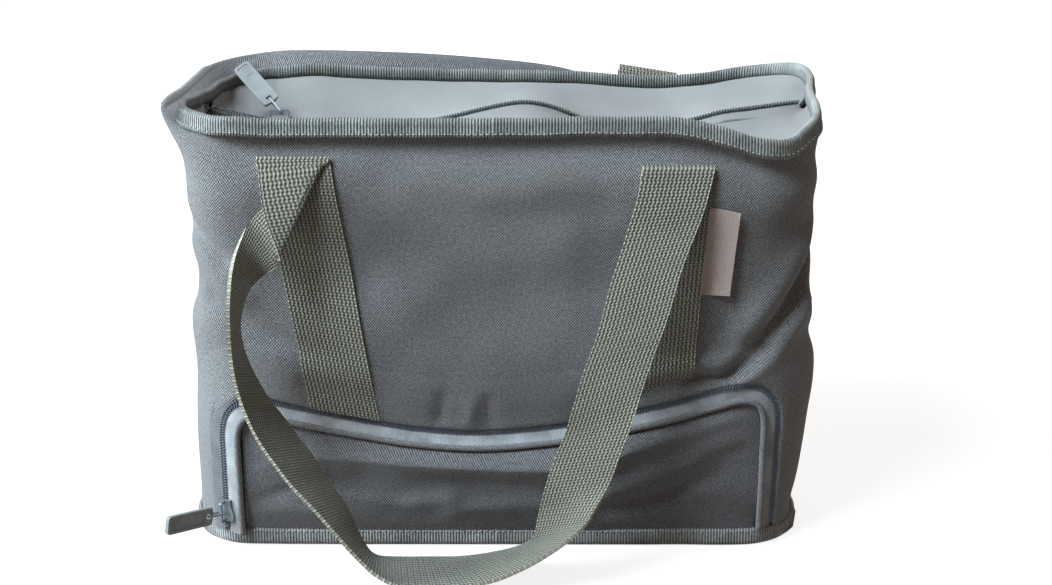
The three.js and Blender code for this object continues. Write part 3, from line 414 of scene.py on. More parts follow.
def stitches(spots, size=(1.05, 0.32, 0.32)):
    """Short thread ends: each spot is a point, the seam's way and the cloth's normal."""
    bm = bmesh.new()
    for point, way, normal in spots:
        way, normal = Vector(way).normalized(), Vector(normal).normalized()
        across = normal.cross(way).normalized()
        turn = Matrix((way, across, normal)).transposed().to_4x4()
        bmesh.ops.create_icosphere(
            bm, subdivisions=1, radius=MM,
            matrix=Matrix.Translation(Vector(point) * MM) @ turn @ Matrix.Diagonal((*size, 1.0)),
        )
    for face in bm.faces:
        face.smooth = True
    return bm


# Finishes
def finish(name, colour, rough_at=0.8, sheen=0.0, spec=0.3, metal=0.0):
    mat = bpy.data.materials.new(name)
    mat.use_nodes = True
    tree = mat.node_tree
    shader = tree.nodes["Principled BSDF"]
    shader.inputs["Base Color"].default_value = (*colour, 1)
    shader.inputs["Roughness"].default_value = rough_at
    shader.inputs["Specular IOR Level"].default_value = spec
    shader.inputs["Metallic"].default_value = metal
    shader.inputs["Sheen Weight"].default_value = sheen
    shader.inputs["Sheen Roughness"].default_value = 0.5
    return mat, tree, shader


def linear(*srgb):
    return tuple((c / 255 / 12.92) if c <= 10 else ((c / 255 + 0.055) / 1.055) ** 2.4 for c in srgb)


def knot(tree, kind, inputs=None, **settings):
    node = tree.nodes.new(kind)
    for key, value in settings.items():
        setattr(node, key, value)
    for key, value in (inputs or {}).items():
        if isinstance(value, bpy.types.NodeSocket):
            tree.links.new(value, node.inputs[key])
        else:
            node.inputs[key].default_value = value
    return node


def sums(tree, kind, a, b=0.0, c=0.0):
    return knot(tree, "ShaderNodeMath", {0: a, 1: b, 2: c}, operation=kind).outputs[0]


def cloth_marks(tree):
    """Across and along on the cloth, in mm."""
    marks = knot(tree, "ShaderNodeUVMap", uv_map="Cloth")
    parts = knot(tree, "ShaderNodeSeparateXYZ", {0: marks.outputs[0]})
    return parts.outputs[0], parts.outputs[1], marks.outputs[0]


def ridges(tree, value, pitch):
    return sums(tree, "SINE", sums(tree, "MULTIPLY", value, 2 * math.pi / pitch))


def colours(tree, value, *stops):
    ramp = knot(tree, "ShaderNodeValToRGB", {0: value})
    while len(ramp.color_ramp.elements) < len(stops):
        ramp.color_ramp.elements.new(0.5)
    for element, (place, colour) in zip(ramp.color_ramp.elements, stops):
        element.position = place
        element.color = (*colour, 1)
    return ramp.outputs[0]


def multiply(tree, a, b):
    """Product of two colours; 6, 7 and output 2 are the mix node's colour sockets."""
    return knot(tree, "ShaderNodeMix", {0: 1.0, 6: a, 7: b}, data_type="RGBA", blend_type="MULTIPLY").outputs[2]


def raise_by(tree, shader, height, distance, strength=1.0):
    bump = knot(tree, "ShaderNodeBump", {"Height": height, "Strength": strength, "Distance": distance * MM})
    tree.links.new(bump.outputs[0], shader.inputs["Normal"])


def shade_cloud(tree, vector, scale, low, high):
    """Slow change of shade between low and high."""
    cloud = knot(tree, "ShaderNodeTexNoise", {"Vector": vector, "Scale": scale, "Detail": 5.0})
    return ranged(tree, cloud.outputs[0], 0.28, 0.72, low, high)


def ranged(tree, value, low, high, at_low, at_high):
    return knot(tree, "ShaderNodeMapRange", {0: value, 1: low, 2: high, 3: at_low, 4: at_high}).outputs[0]


def woven_cloth(name, dark, light, pitch=1.3, sheen=0.2):
    """Twill of flecked yarn: slanting lines broken into dots."""
    mat, tree, shader = finish(name, light, 0.82, sheen, 0.25)
    across, along, marks = cloth_marks(tree)
    slant = ridges(tree, sums(tree, "MULTIPLY_ADD", along, 0.8, across), pitch)
    dots = ridges(tree, sums(tree, "MULTIPLY_ADD", along, -1.1, across), pitch * 1.25)
    weave = sums(tree, "MULTIPLY_ADD", dots, 0.45, slant)
    fleck = shade_cloud(tree, marks, 0.75, -1.0, 1.0)
    yarn = sums(tree, "MULTIPLY_ADD", sums(tree, "MULTIPLY_ADD", fleck, 0.55, weave), 0.3, 0.5)
    cloth = colours(tree, yarn, (0.05, dark), (0.5, mix_colour(dark, light, 0.42)), (0.95, light))
    slow = shade_cloud(tree, marks, 0.02, 0.9, 1.08)
    tree.links.new(multiply(tree, cloth, slow), shader.inputs["Base Color"])
    raise_by(tree, shader, weave, 0.2, 0.8)
    return mat


def webbing_finish(name, dark, light):
    """Heavy webbing: zigzag warp threads over dark gaps, paler at the selvage."""
    warp_pitch, weft_pitch = 2.06, 1.6
    mat, tree, shader = finish(name, light, 0.75, 0.2, 0.3)
    across, along, marks = cloth_marks(tree)
    zigzag = sums(tree, "PINGPONG", along, weft_pitch)
    phase = sums(tree, "ADD", sums(tree, "DIVIDE", across, warp_pitch), sums(tree, "MULTIPLY", zigzag, 0.2))
    thread = sums(tree, "SINE", sums(tree, "MULTIPLY", phase, 2 * math.pi))
    weft = ridges(tree, sums(tree, "ADD", along, weft_pitch / 4), weft_pitch)
    height = sums(tree, "MULTIPLY_ADD", weft, 0.42, sums(tree, "MULTIPLY", thread, 0.8))
    fleck = shade_cloud(tree, marks, 0.9, -0.35, 0.35)
    value = sums(tree, "MULTIPLY_ADD", sums(tree, "ADD", height, fleck), 0.4, 0.5)
    web = colours(tree, value, (0.05, dark), (0.45, mix_colour(dark, light, 0.42)), (0.95, light))
    slow = shade_cloud(tree, marks, 0.05, 0.9, 1.07)
    edge = sums(tree, "ABSOLUTE", sums(tree, "SUBTRACT", across, HALF_WEB))
    selvage = ranged(tree, edge, 16.4, 17.2, 1.0, 1.5)
    tree.links.new(multiply(tree, multiply(tree, web, slow), selvage), shader.inputs["Base Color"])
    raise_by(tree, shader, height, 0.3, 0.9)
    return mat


def mix_colour(a, b, share):
    return tuple(mix(p, q, share) for p, q in zip(a, b))


def ribbed_tape(name, dark, light, pitch, selvage=1.0, turned=1.0):
    """Grosgrain tape: ribs across its length, its edge paler by selvage, and painted shade darkening its turned-in
    side by turned.
    """
    mat, tree, shader = finish(name, light, 0.7, 0.25, 0.3)
    across, along, marks = cloth_marks(tree)
    rib = ridges(tree, along, pitch)
    fleck = shade_cloud(tree, marks, 0.8, -0.4, 0.4)
    value = sums(tree, "MULTIPLY_ADD", sums(tree, "ADD", rib, fleck), 0.4, 0.48)
    tape = colours(tree, value, (0.05, dark), (0.95, light))
    slow = shade_cloud(tree, marks, 0.07, 0.55, 1.3)
    edge = ranged(tree, across, 1.2, 2.4, selvage, 1.0)
    # Painted shade: the turned-in side is darkened by the factor turned
    inside = ranged(tree, across, 9.0, 13.4, 1.0, turned)
    shaded = multiply(tree, multiply(tree, multiply(tree, tape, slow), edge), inside)
    tree.links.new(shaded, shader.inputs["Base Color"])
    raise_by(tree, shader, sums(tree, "MULTIPLY_ADD", ridges(tree, across, 0.7), 0.2, rib), 0.2, 0.7)
    return mat


def plain_finish(name, colour, rough_at, grain, depth, sheen=0.0, spec=0.4, metal=0.0):
    """Moulded or cast surface with a fine grain, on the piece's own place."""
    mat, tree, shader = finish(name, colour, rough_at, sheen, spec, metal)
    spot = knot(tree, "ShaderNodeTexCoord").outputs["Object"]
    tone = multiply(tree, (*colour, 1), shade_cloud(tree, spot, grain * 0.25, 0.85, 1.1))
    tree.links.new(tone, shader.inputs["Base Color"])
    pits = knot(tree, "ShaderNodeTexNoise", {"Vector": spot, "Scale": grain, "Detail": 3.0})
    raise_by(tree, shader, pits.outputs[0], depth, 0.5)
    return mat


CLOTH = woven_cloth("grey woven cloth", linear(30, 31, 33), linear(184, 186, 188))
POCKET_CLOTH = woven_cloth("grey pocket cloth", linear(30, 31, 33), linear(164, 165, 168))
TOP_CLOTH = woven_cloth("smooth top cloth", linear(148, 150, 149), linear(178, 180, 179), 1.1)
WEBBING = webbing_finish("grey webbing", linear(34, 34, 30), linear(172, 172, 156))
# The rim binding's turned-in side is painted half as bright: painted shade
BINDING = ribbed_tape("ribbed binding", linear(22, 25, 25), linear(188, 194, 190), RIB_PITCH, 1.35, 0.5)
# Painted light: a paler copy of the rim's binding, for the light the base tape catches from the floor
LIT_BASE_BINDING = ribbed_tape("ribbed base binding with painted light", linear(64, 67, 68), linear(214, 218, 216), RIB_PITCH)
ZIP_TAPE = ribbed_tape("zip tape", linear(156, 161, 165), linear(194, 199, 203), 0.8)
# Painted shade: a darker copy of the zip tape, for tape lying under the front cloth's hem and under the top panels
SHADED_ZIP_TAPE = ribbed_tape("zip tape with painted shade", linear(86, 91, 96), linear(128, 133, 138), 0.8)
COIL = plain_finish("zip coil", linear(108, 117, 119), 0.5, 900, 0.05, 0, 0.4)
DARK_COIL = plain_finish("pocket zip coil", linear(98, 106, 116), 0.42, 900, 0.05, 0, 0.5)
PIPING = woven_cloth("piping cloth", linear(60, 62, 64), linear(186, 188, 189), 1.2)
FOAM = plain_finish("white foam", linear(226, 226, 220), 0.9, 700, 0.3, 0.1, 0.2)
FILM = plain_finish("silver lining film", linear(176, 180, 184), 0.32, 240, 0.15, 0, 0.5, 0.55)
LABEL = woven_cloth("blank label cloth", linear(206, 189, 179), linear(230, 214, 204), 0.9, 0.15)
THREAD = plain_finish("grey thread", linear(176, 182, 180), 0.8, 1600, 0.05)
# Painted shade: a darkened copy of the grey thread, for stitches that lie in shade
SHADED_THREAD = plain_finish("thread with painted shade", linear(52, 58, 64), 0.8, 1600, 0.05)
SLIDER = plain_finish("painted slider metal", linear(128, 136, 142), 0.4, 500, 0.04, 0, 0.5, 0.25)
PULL = plain_finish("moulded pull", linear(142, 147, 147), 0.6, 900, 0.08, 0, 0.4)

for part, coat in (("slider_body", SLIDER), ("pull_link", SLIDER), ("pull_tab", PULL)):
    for place in ("top", "pocket"):
        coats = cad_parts[f"{place}_{part}"].data.materials
        coats.clear()
        coats.append(coat)


# Walls: one sagging shell of front and back cloth, with foam and lining inside it
def wall_sheet(face, columns, rows, out, low, high, thick, reach=QUARTER, inner=False):
    def place(u, v):
        along = mix(-reach, reach, u if face == FRONT else 1 - u)
        height = mix(low, high, v)
        return wall(along, height, out, face, inner), (along, height)
    return laid(columns, rows, place, thick)


for name, face, columns, rows in (("front", FRONT, 236, 120), ("back", BACK, 200, 100)):
    bm = wall_sheet(face, columns, rows, 0.0, 0.8, CLOTH_TOP, 0.8)
    piece(name + "_cloth", bm, CLOTH, "shell", [name + "_panel"])
for name, face in (("foam_front", FRONT), ("foam_back", BACK)):
    bm = wall_sheet(face, 80, 44, -1.0, LAYER_FOOT, FOAM_TOP, 4.6, 160, True)
    pad = piece(name + "_pad", bm, FOAM, "shell", [name])
for name, side in (("foam_left", -1), ("foam_right", 1)):
    def place(u, v, side=side):
        along, face = around(QUARTER * (1 if side > 0 else 3) + mix(-72, 72, u))
        height = mix(LAYER_FOOT, FOAM_TOP, v)
        return wall(along, height, -1.0, face, True), (u * 144, height)
    pad = piece(name + "_pad", laid(44, 44, place, 4.6), FOAM, "shell", [name])


def lining_tub():
    bm = wall_sheet(FRONT, 120, 60, -6.0, LAYER_FOOT, FILM_TOP, 0.6, QUARTER, True)
    join(bm, wall_sheet(BACK, 120, 60, -6.0, LAYER_FOOT, FILM_TOP, 0.6, QUARTER, True))
    join(bm, floor_sheet(6.9, -6.4, 60, 36, 0.5))
    return bm


def floor_sheet(level, out, columns, rows, thick):
    """A flat layer of the base, its corners rounded like the bag's."""
    def place(u, v):
        x = mix(-1, 1, u)
        x = math.copysign(abs(x) ** 0.8, x) * (HALF_WIDTH + out)
        beyond = max(0.0, abs(x) - FRONT_FLAT)
        half = SIDE_FLAT + out + math.sqrt(max(0.0, CORNER ** 2 - (beyond * CORNER / (CORNER + out)) ** 2))
        y = mix(-half, half, v)
        sag = 0.25 * rough((x, y, level), 40, 2.2)
        return (x * 0.985, y * 0.985, level + sag * (level > 2)), (x, y)
    return laid(columns, rows, place, thick)


piece("lining_film", lining_tub(), FILM, "shell", ["liner"])
piece("base_cloth", floor_sheet(1.2, 0.0, 60, 30, 1.0), CLOTH, "shell", ["base_panel"])
pad = piece("foam_base_pad", floor_sheet(6.0, -1.4, 40, 24, 4.4), FOAM, "shell", ["foam_base"])


# Ribbed binding round the rim and the base
def binding(profile, spot):
    """Tape of one profile right round the bag: across, up and how strongly the ribs show."""
    count = 2 * round(ROUND / RIB_PITCH)
    rows = len(profile)
    middle = [sum(p[k] for p in profile) / rows for k in (0, 1)]

    def place(u, v):
        k, j = round(u * count), round(v * rows) % rows
        along, face = around(k / count * ROUND)
        a, b = profile[j][:2]
        lift = RIB * (1 if k % 2 else -1) * profile[j][2]
        a += lift * math.copysign(1.0, a - middle[0]) * (b < 9)
        b -= 0.45 * (profile[j][2] > 1) * (k % 2)
        b += lift * (b >= 9)
        return spot(along, face, a, b), (j * 1.4, k / count * ROUND)

    return outward(laid(count, rows, place, closed=True))


RIM_PROFILE = [
    (-1.2, 1.2, 2), (-2.4, 1.5, 2), (-2.2, 3.4, 1), (-1.8, 6.0, 1), (-1.6, 8.4, 1), (-0.9, 9.8, 1),
    (0.5, 10.6, 1), (1.9, 10.2, 1), (2.7, 8.6, 1), (3.0, 6.2, 1), (2.8, 3.6, 1), (2.2, 3.6, 0),
    (2.0, 8.0, 0), (0.6, 9.2, 0), (-0.4, 8.0, 0), (-0.6, 1.2, 0),
]
piece("rim_binding", binding(RIM_PROFILE, rim), BINDING, "shell", ["top_rim_binding"])


def base_spot(along, face, inward, up):
    """Point beside the base seam, inwards and up from the wall's foot."""
    x, y, _ = wall(along, max(1.0, up), 0.0, face)
    _, normal = outline(along, face)
    wave = 0.35 * rough((x, y, 3.0), 24, 1.7)
    return x - normal[0] * inward, y - normal[1] * inward, max(0.0, up + wave)


BASE_PROFILE = [
    (0.9, 0.0, 0), (-0.6, 0.0, 1), (-1.5, 0.7, 1), (-2.0, 2.6, 1), (-2.0, 5.0, 1), (-1.8, 7.4, 1),
    (-1.4, 9.2, 1), (-0.6, 9.6, 0), (-0.2, 8.4, 0), (-0.2, 3.0, 0),
]
piece("base_tape", binding(BASE_PROFILE, base_spot), LIT_BASE_BINDING, "shell", ["base_binding"])


def seam_spots(spot, inward, up, pitch):
    count = round(ROUND / pitch)
    spots = []
    for k in range(count):
        length = (k + 0.5) * pitch
        a, face = around(length)
        b, other = around(length + 1.0)
        here, there = Vector(spot(a, face, inward, up)), Vector(spot(b, other, inward, up))
        _, normal = outline(a, face)
        spots.append((here, there - here, (normal[0], normal[1], 0.0)))
    return spots


piece("rim_stitches", stitches(seam_spots(rim, -2.5, 3.0, 3.0)), THREAD, "shell")
piece("base_stitches", stitches(seam_spots(base_spot, -1.95, 8.2, 3.0)), THREAD, "shell")


# Top: two sagging panels meeting at a zip below the rim
ZIP_LEVEL = [
    (-168, 222), (-150, 217.5), (-131, 213.2), (-115, 212.8), (-99, 212.2), (-80, 210), (-55, 210),
    (-30, 214), (0, 221), (15, 223), (30, 220.5), (50, 213), (70, 210), (90, 210.5), (105, 213),
    (122, 217.5), (137, 219.5), (155, 222), (168, 223.5),
]
LID_REACH = QUARTER - 12
LID_WIDTH = 75.0
ZIP_REACH, ZIP_STRAIGHT = 164.0, 118.0
ZIP_SHORT = 6.5  # the left end stops short of the drawn-in side


def zip_level(x):
    return curve(ZIP_LEVEL, x)


def zip_spread(x):
    """Half the open slit behind the slider."""
    behind = 1.7 * (1.0 - ease(-119, -112, x)) * ease(-168, -150, x)
    return behind + 2.4 * ease(-122, -136, x) * ease(-166, -146, x)


def lid_zip_x(along):
    """Place on the zip from which a top panel runs to a place on the rim."""
    reach = abs(along)
    if reach > ZIP_STRAIGHT:
        end = ZIP_REACH - (ZIP_SHORT if along < 0 else 0.0)
        share = (reach - ZIP_STRAIGHT) / (LID_REACH - ZIP_STRAIGHT)
        reach = ZIP_STRAIGHT + (end - ZIP_STRAIGHT) * share ** 0.75
    return math.copysign(reach, along)


def lid(along, share, face, drop):
    """Point of a top panel: share 0 at the zip, 1 under the rim binding."""
    edge = Vector(rim(along, face, 2.7, 3.4))
    x = lid_zip_x(along)
    start = Vector((x, face * (2.5 + zip_spread(x)), zip_level(x) - 0.3))
    point = start.lerp(edge, share)
    sag = 2.6 + 1.6 * ease(60, 130, along) + (2.2 if face == BACK else 1.4) * ease(-40, -120, along)
    sag += 4.5 * bell((along - 122) / 26) * (face == FRONT)
    taut = 1 - 0.6 * ease(150, LID_REACH, abs(along))
    point.z = mix(start.z, edge.z, share ** 1.35) - sag * 4 * share * (1 - share) * taut
    free = ease(0.0, 0.2, share) * (1 - ease(0.8, 1.0, share))
    point.z += free * (1.5 * rough(point, 38, 5.5) + 0.5 * rough(point, 14, 6.1))
    point.z -= drop
    return point


def lid_piece(name, face, low, high, coat, drop, thick, nodes, rows=34, tuck=0.0):
    """One layer of a top panel, its outer border held back from the rim by tuck."""
    low, high = max(low, tuck - LID_REACH), min(high, LID_REACH - tuck)
    columns = max(12, round((high - low) / 2.6))

    def place(u, v):
        along = mix(low, high, u if face == BACK else 1 - u)
        return lid(along, v * (1 - tuck / LID_WIDTH), face, drop), (along, v * LID_WIDTH)

    bm = laid(columns, rows, place, thick)
    return piece(name, bm, coat, None, nodes)


def lid_ways(face):
    """The two ends of a top panel, and how each bends from the shell to its flap."""
    flap = "top_front_flap" if face == FRONT else "top_rear_flap"
    return [
        ("left", -LID_REACH, 24.0, ("shell", flap, (-0.115, 0, 0), (-0.055, 0, 0))),
        ("right", 24.0, LID_REACH, (flap, "shell", (0.103, 0, 0), (0.165, 0, 0))),
    ]


def coil_half(low, high, path, shift=0.0):
    """One half of a coil zip: a flattened spring along path(length) -> point, way across, way up."""
    count = max(8, round((high - low) / COIL_PITCH * 8))
    route = []
    for k in range(count + 1):
        length = mix(low, high, k / count)
        centre, across, up = path(length)
        turn = 2 * math.pi * (length + shift) / COIL_PITCH
        route.append(centre + across * (0.9 - 1.15 * math.cos(turn)) + up * 0.8 * math.sin(turn))
    return tube(route, COIL_WIRE, 4)


for face, side in ((FRONT, "front"), (BACK, "rear")):
    for end, low, high, bend in lid_ways(face):
        stem = f"top_{side}_{end}"
        covers = [f"top_{side}_cover", f"top_{side}_{end}_end_cover"]
        linings = [f"top_{side}_lining", f"top_{side}_{end}_end_lining"]
        made = [
            lid_piece(stem + "_cloth", face, low, high, TOP_CLOTH, 0.0, 0.8, covers),
            lid_piece(stem + "_foam", face, low, high, FOAM, 1.1, 2.6, linings, 16, 6.0),
            lid_piece(stem + "_film", face, low, high, FILM, 3.9, 0.5, linings, 16, 6.0),
        ]
        zip_low, zip_high = lid_zip_x(low), lid_zip_x(high)

        def tape(u, v, face=face, zip_low=zip_low, zip_high=zip_high):
            x = mix(zip_low, zip_high, u if face == BACK else 1 - u)
            step = mix(2.2, 10.5, v)
            return (x, face * (step + zip_spread(x)), zip_level(x) - 0.9 - 0.22 * step), (step, x)

        columns = round((zip_high - zip_low) / 2.5)
        bm = laid(columns, 4, tape, 0.7)
        made.append(piece(stem + "_zip_tape", bm, SHADED_ZIP_TAPE, None, [f"top_zip_tape_{side}"]))

        def path(x, face=face):
            centre = Vector((x, face * zip_spread(x), zip_level(x) + 0.9))
            return centre, Vector((0, face, 0)), Vector((0, 0, 1))

        bm = coil_half(zip_low, zip_high, path, 0.0 if face == FRONT else COIL_PITCH / 2)
        made.append(piece(stem + "_zip_coil", bm, COIL, None, [f"top_zip_chain_{side}"]))
        for obj in made:
            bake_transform(obj)


# Pocket on the front
def beside_arch(length, into, out):
    """Point beside the pocket's zip line, into the pocket and out from the wall."""
    a, h, ia, ih = arch(length)
    return wall(a + into * ia, max(0.8, h + into * ih), out, FRONT)


def stand(length):
    """The zip stands off the wall where the slider runs and sinks towards the tuck above the pocket."""
    return mix(3.5, 1.9, ease(62, 110, length))


def hem_edge(length):
    """Front cloth's turned edge stands clear of the slider's straight run."""
    return mix(-4.8, -1.1, ease(50, 84, length))


HEM = [
    (-34.0, -0.9), (-28.0, 0.15), (-20.0, 0.8), (-12.0, 1.9), (-6.0, 2.9), (-2.4, 3.5), (-0.8, 3.4),
    (0.0, 2.7), (-0.1, 1.9), (-0.9, 1.4), (-4.0, 1.2),
]


def hem_place(u, v):
    length = u * ARCH_LENGTH
    k = v * (len(HEM) - 1)
    i = min(len(HEM) - 2, int(k))
    into, out = (mix(a, b, k - i) for a, b in zip(HEM[i], HEM[i + 1]))
    a, h, ia, ih = arch(length)
    into += hem_edge(length)
    fade = mix(0.8, 1.0, ease(48, 84, length))
    return beside_arch(length, into, out * (fade if out > 0 else 1)), (a + into * ia, h + into * ih)


piece("pocket_hem", outward(laid(220, 40, hem_place)), CLOTH, "shell", ["pocket_outer_tape"])


def pocket_way(length):
    """Point of the pocket's zip, the way into the pocket and the way out from the wall."""
    ahead, behind = min(ARCH_LENGTH, length + 1.0), max(0.0, length - 1.0)
    out = stand(length)
    here = Vector(beside_arch(length, 0.0, out))
    across = (Vector(beside_arch(length, 1.0, out)) - here).normalized()
    way = (Vector(beside_arch(ahead, 0.0, out)) - Vector(beside_arch(behind, 0.0, out))).normalized()
    return here, across, way.cross(across).normalized()


def pocket_outer(length):
    here, across, up = pocket_way(length)
    return here, -across, up


bm = coil_half(2, ARCH_LENGTH - 2, pocket_outer)
piece("pocket_outer_coil", bm, DARK_COIL, "shell", ["pocket_outer_tape"])
bm = coil_half(2, ARCH_LENGTH - 2, pocket_way, COIL_PITCH / 2)
soft = [piece("pocket_inner_coil", bm, DARK_COIL, None, ["pocket_inner_tape"])]


def outer_tape(u, v):
    length, into = u * ARCH_LENGTH, mix(-9.0, -1.6, v)
    return beside_arch(length, into, stand(length) - 0.6 - 0.8 * (1 - v)), (into, length)


def tape_out(length, into):
    """The inner tape tips outwards to its piping."""
    lean = mix(0.42, 0.1, ease(0.6 * ARCH_LENGTH, 0.74 * ARCH_LENGTH, length))
    return stand(length) - 0.2 + lean * (into - 1.5)


def inner_tape(u, v):
    length, into = u * ARCH_LENGTH, mix(1.5, 7.0, v)
    return beside_arch(length, into, tape_out(length, into)), (into, length)


bm = outward(laid(200, 4, outer_tape, 0.6))
piece("pocket_outer_zip_tape", bm, SHADED_ZIP_TAPE, "shell", ["pocket_outer_tape"])
bm = outward(laid(200, 6, inner_tape, 0.6))
soft.append(piece("pocket_inner_zip_tape", bm, ZIP_TAPE, None, ["pocket_inner_tape"]))
lengths = [k / 300 * ARCH_LENGTH for k in range(301)]
route = [beside_arch(length, 8.2, stand(length) + 2.0) for length in lengths]
soft.append(piece("pocket_piping_cord", tube(route, 1.75, 10), PIPING, None, ["pocket_piping"]))


def pocket_stitches():
    pitch, into = 2.8, 4.9
    spots = []
    for k in range(int(ARCH_LENGTH / pitch)):
        length = (k + 0.5) * pitch
        out = tape_out(length, into) + 0.1
        here = Vector(beside_arch(length, into, out))
        there = Vector(beside_arch(min(ARCH_LENGTH, length + 1), into, out))
        spots.append((here, there - here, (0.0, -1.0, 0.15)))
    return stitches(spots, (0.95, 0.26, 0.26))


# The pocket's stitches carry painted shade: their thread is darkened to stand for shadow
soft.append(piece("pocket_stitches", pocket_stitches(), SHADED_THREAD))

PANEL_INSET, PANEL_FOOT = 10.0, 6.0
PANEL_EDGE = []
for k in range(401):
    a, h, ia, ih = arch(k / 400 * ARCH_LENGTH)
    PANEL_EDGE.append((a + PANEL_INSET * ia, h + PANEL_INSET * ih))
PANEL_LEFT, PANEL_RIGHT = PANEL_EDGE[0][0], PANEL_EDGE[-1][0]
PANEL_TOP = []
for a, h in PANEL_EDGE:
    if h > 40 and (not PANEL_TOP or a > PANEL_TOP[-1][0] + 0.02):
        PANEL_TOP.append((a, h))
RIDGE = [
    (-145, 40), (-120, 47), (-91, 53), (-49, 50.5), (3, 47), (27, 47), (54, 50), (71, 57), (105, 67),
    (128, 72), (145, 60),
]
BELOW_RIDGE = [
    (0, 1), (0.1, 0.86), (0.22, 0.68), (0.38, 0.58), (0.6, 0.52), (0.8, 0.32), (0.92, 0.14), (1, 0.05),
]
PANEL_FOLDS = [
    ([(62, 34), (92, 44), (122, 60)], 2.8, 7.0), ([(56, 22), (90, 30), (116, 44)], -2.6, 6.0),
    ([(112, 52), (134, 57)], -1.8, 3.2), ([(106, 36), (122, 26), (136, 20)], 2.0, 4.0),
    ([(110, 26), (130, 13)], -2.0, 3.2), ([(96, 70), (112, 66), (126, 68)], -1.4, 3.6),
    ([(-128, 26), (-112, 33), (-100, 34)], -2.0, 3.4), ([(-130, 20), (-112, 22), (-96, 20)], 2.0, 4.0),
    ([(-128, 50), (-112, 46), (-98, 38)], -2.0, 4.0), ([(-120, 62), (-104, 54), (-92, 42)], 1.8, 5.0),
    ([(-20, 22), (20, 28), (52, 22)], 1.4, 6.0), ([(-84, 30), (-50, 26), (-24, 30)], 1.4, 5.0),
]


def panel_place(u, v):
    """Pocket cloth: out to a ridge below its zip, slack below it and wrinkled."""
    bend = (1 - math.cos(math.pi * u)) / 2
    a = mix(PANEL_LEFT, PANEL_RIGHT, mix(u, bend, 0.6))
    i = min(len(PANEL_TOP) - 2, max(0, bisect.bisect_right(PANEL_TOP, (a, math.inf)) - 1))
    (x0, y0), (x1, y1) = PANEL_TOP[i], PANEL_TOP[i + 1]
    top = mix(y0, y1, min(1.0, max(0.0, (a - x0) / (x1 - x0))))
    height = mix(PANEL_FOOT, top, v)
    side = abs((a - 2.5) / ((PANEL_RIGHT - PANEL_LEFT) / 2))
    full = 1 - min(1.0, side) ** 5
    ridge = min(curve(RIDGE, a), top - 5)
    crest = mix(12.0, 8.5, ease(50, 90, a))
    if height > ridge:
        out = mix(crest, 2.4, ((height - ridge) / (top - ridge)) ** 1.3)
    else:
        out = crest * curve(BELOW_RIDGE, (ridge - height) / (ridge - PANEL_FOOT))
    hem = mix(0.6, mix(3.6, 2.2, full), ease(0.0, 0.45, v))
    out = mix(hem, out, full)
    spot = (a, height, 0.0)
    wrinkles = folds(PANEL_FOLDS, a, height) + 0.8 * rough(spot, 22, 8.8) + 0.35 * rough(spot, 9, 1.1)
    out += full * v * (1 - v) * 4 * wrinkles
    return wall(a, height, out, FRONT), (a, height)


bm = laid(150, 60, panel_place, 0.8)
soft.append(piece("pocket_cloth", bm, POCKET_CLOTH, None, ["pocket_panel", "pocket_panel_lower"]))
for obj in soft:
    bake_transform(obj)


# Webbing: sewn runs and free handles
def strip(stations, columns=12, pace=2.4, crease=None):
    """Webbing between two edges given as pairs of points."""
    edges = [(Vector(a), Vector(b)) for a, b in stations]
    last = len(edges) - 1
    mids = [(a + b) / 2 for a, b in edges]
    lengths = [0.0]
    for p, q in zip(mids, mids[1:]):
        lengths.append(lengths[-1] + max(0.5, (q - p).length))

    def edge(length, which):
        i = min(last - 1, max(0, bisect.bisect_right(lengths, length) - 1))
        gap = lengths[i + 1] - lengths[i]

        def slope(k):
            low, high = max(0, k - 1), min(last, k + 1)
            return (edges[high][which] - edges[low][which]) / (lengths[high] - lengths[low])

        p, q = edges[i][which], edges[i + 1][which]
        return cubic(p, q, slope(i) * gap, slope(i + 1) * gap, (length - lengths[i]) / gap)

    total = lengths[-1]
    rows = max(4, round(total / pace))

    def place(u, v):
        length = v * total
        a, b = edge(length, 0), edge(length, 1)
        point = a.lerp(b, u)
        if crease:
            point = crease(total - length, u, a, b, point)
        return point, (u * 2 * HALF_WEB, length)

    return laid(columns, rows, place, 1.7)


def back_run(x):
    """A back strap sewn to the wall from the base up."""
    heights = [mix(8.0, 186, k / 40) for k in range(41)]
    return [(wall(x + HALF_WEB, h, 2.3, BACK), wall(x - HALF_WEB, h, 2.3, BACK)) for h in heights]


def sewn_run(x_foot, x_top, low, x_fold, level, slant):
    """A front strap sewn to the wall from the pocket's zip up to the fold of its handle."""
    stations = []
    for k in range(41):
        height, x = mix(low, 200, k / 40), mix(x_foot, x_top, k / 40)
        out = 2.3 + 2.0 * (1 - ease(low, low + 14, height))
        tip = slant * (1 - k / 40)
        left = wall(x - HALF_WEB, height + tip, out, FRONT)
        stations.append((left, wall(x + HALF_WEB, height - tip, out, FRONT)))
    front = -HALF_DEPTH - 3.3
    return stations + [((x_fold - HALF_WEB, front, level), (x_fold + HALF_WEB, front, level))]


FRONT_RUNS = {"left": (-77.6, -96.4, 74.6, -97.6, 209.0, 3.6), "right": (84, 90, 90, 90.5, 204.0, -4.0)}
for name, run in FRONT_RUNS.items():
    bm = strip(sewn_run(*run), 14)
    piece(f"front_strap_{name}_web", bm, WEBBING, "shell", [f"front_strap_{name}"])

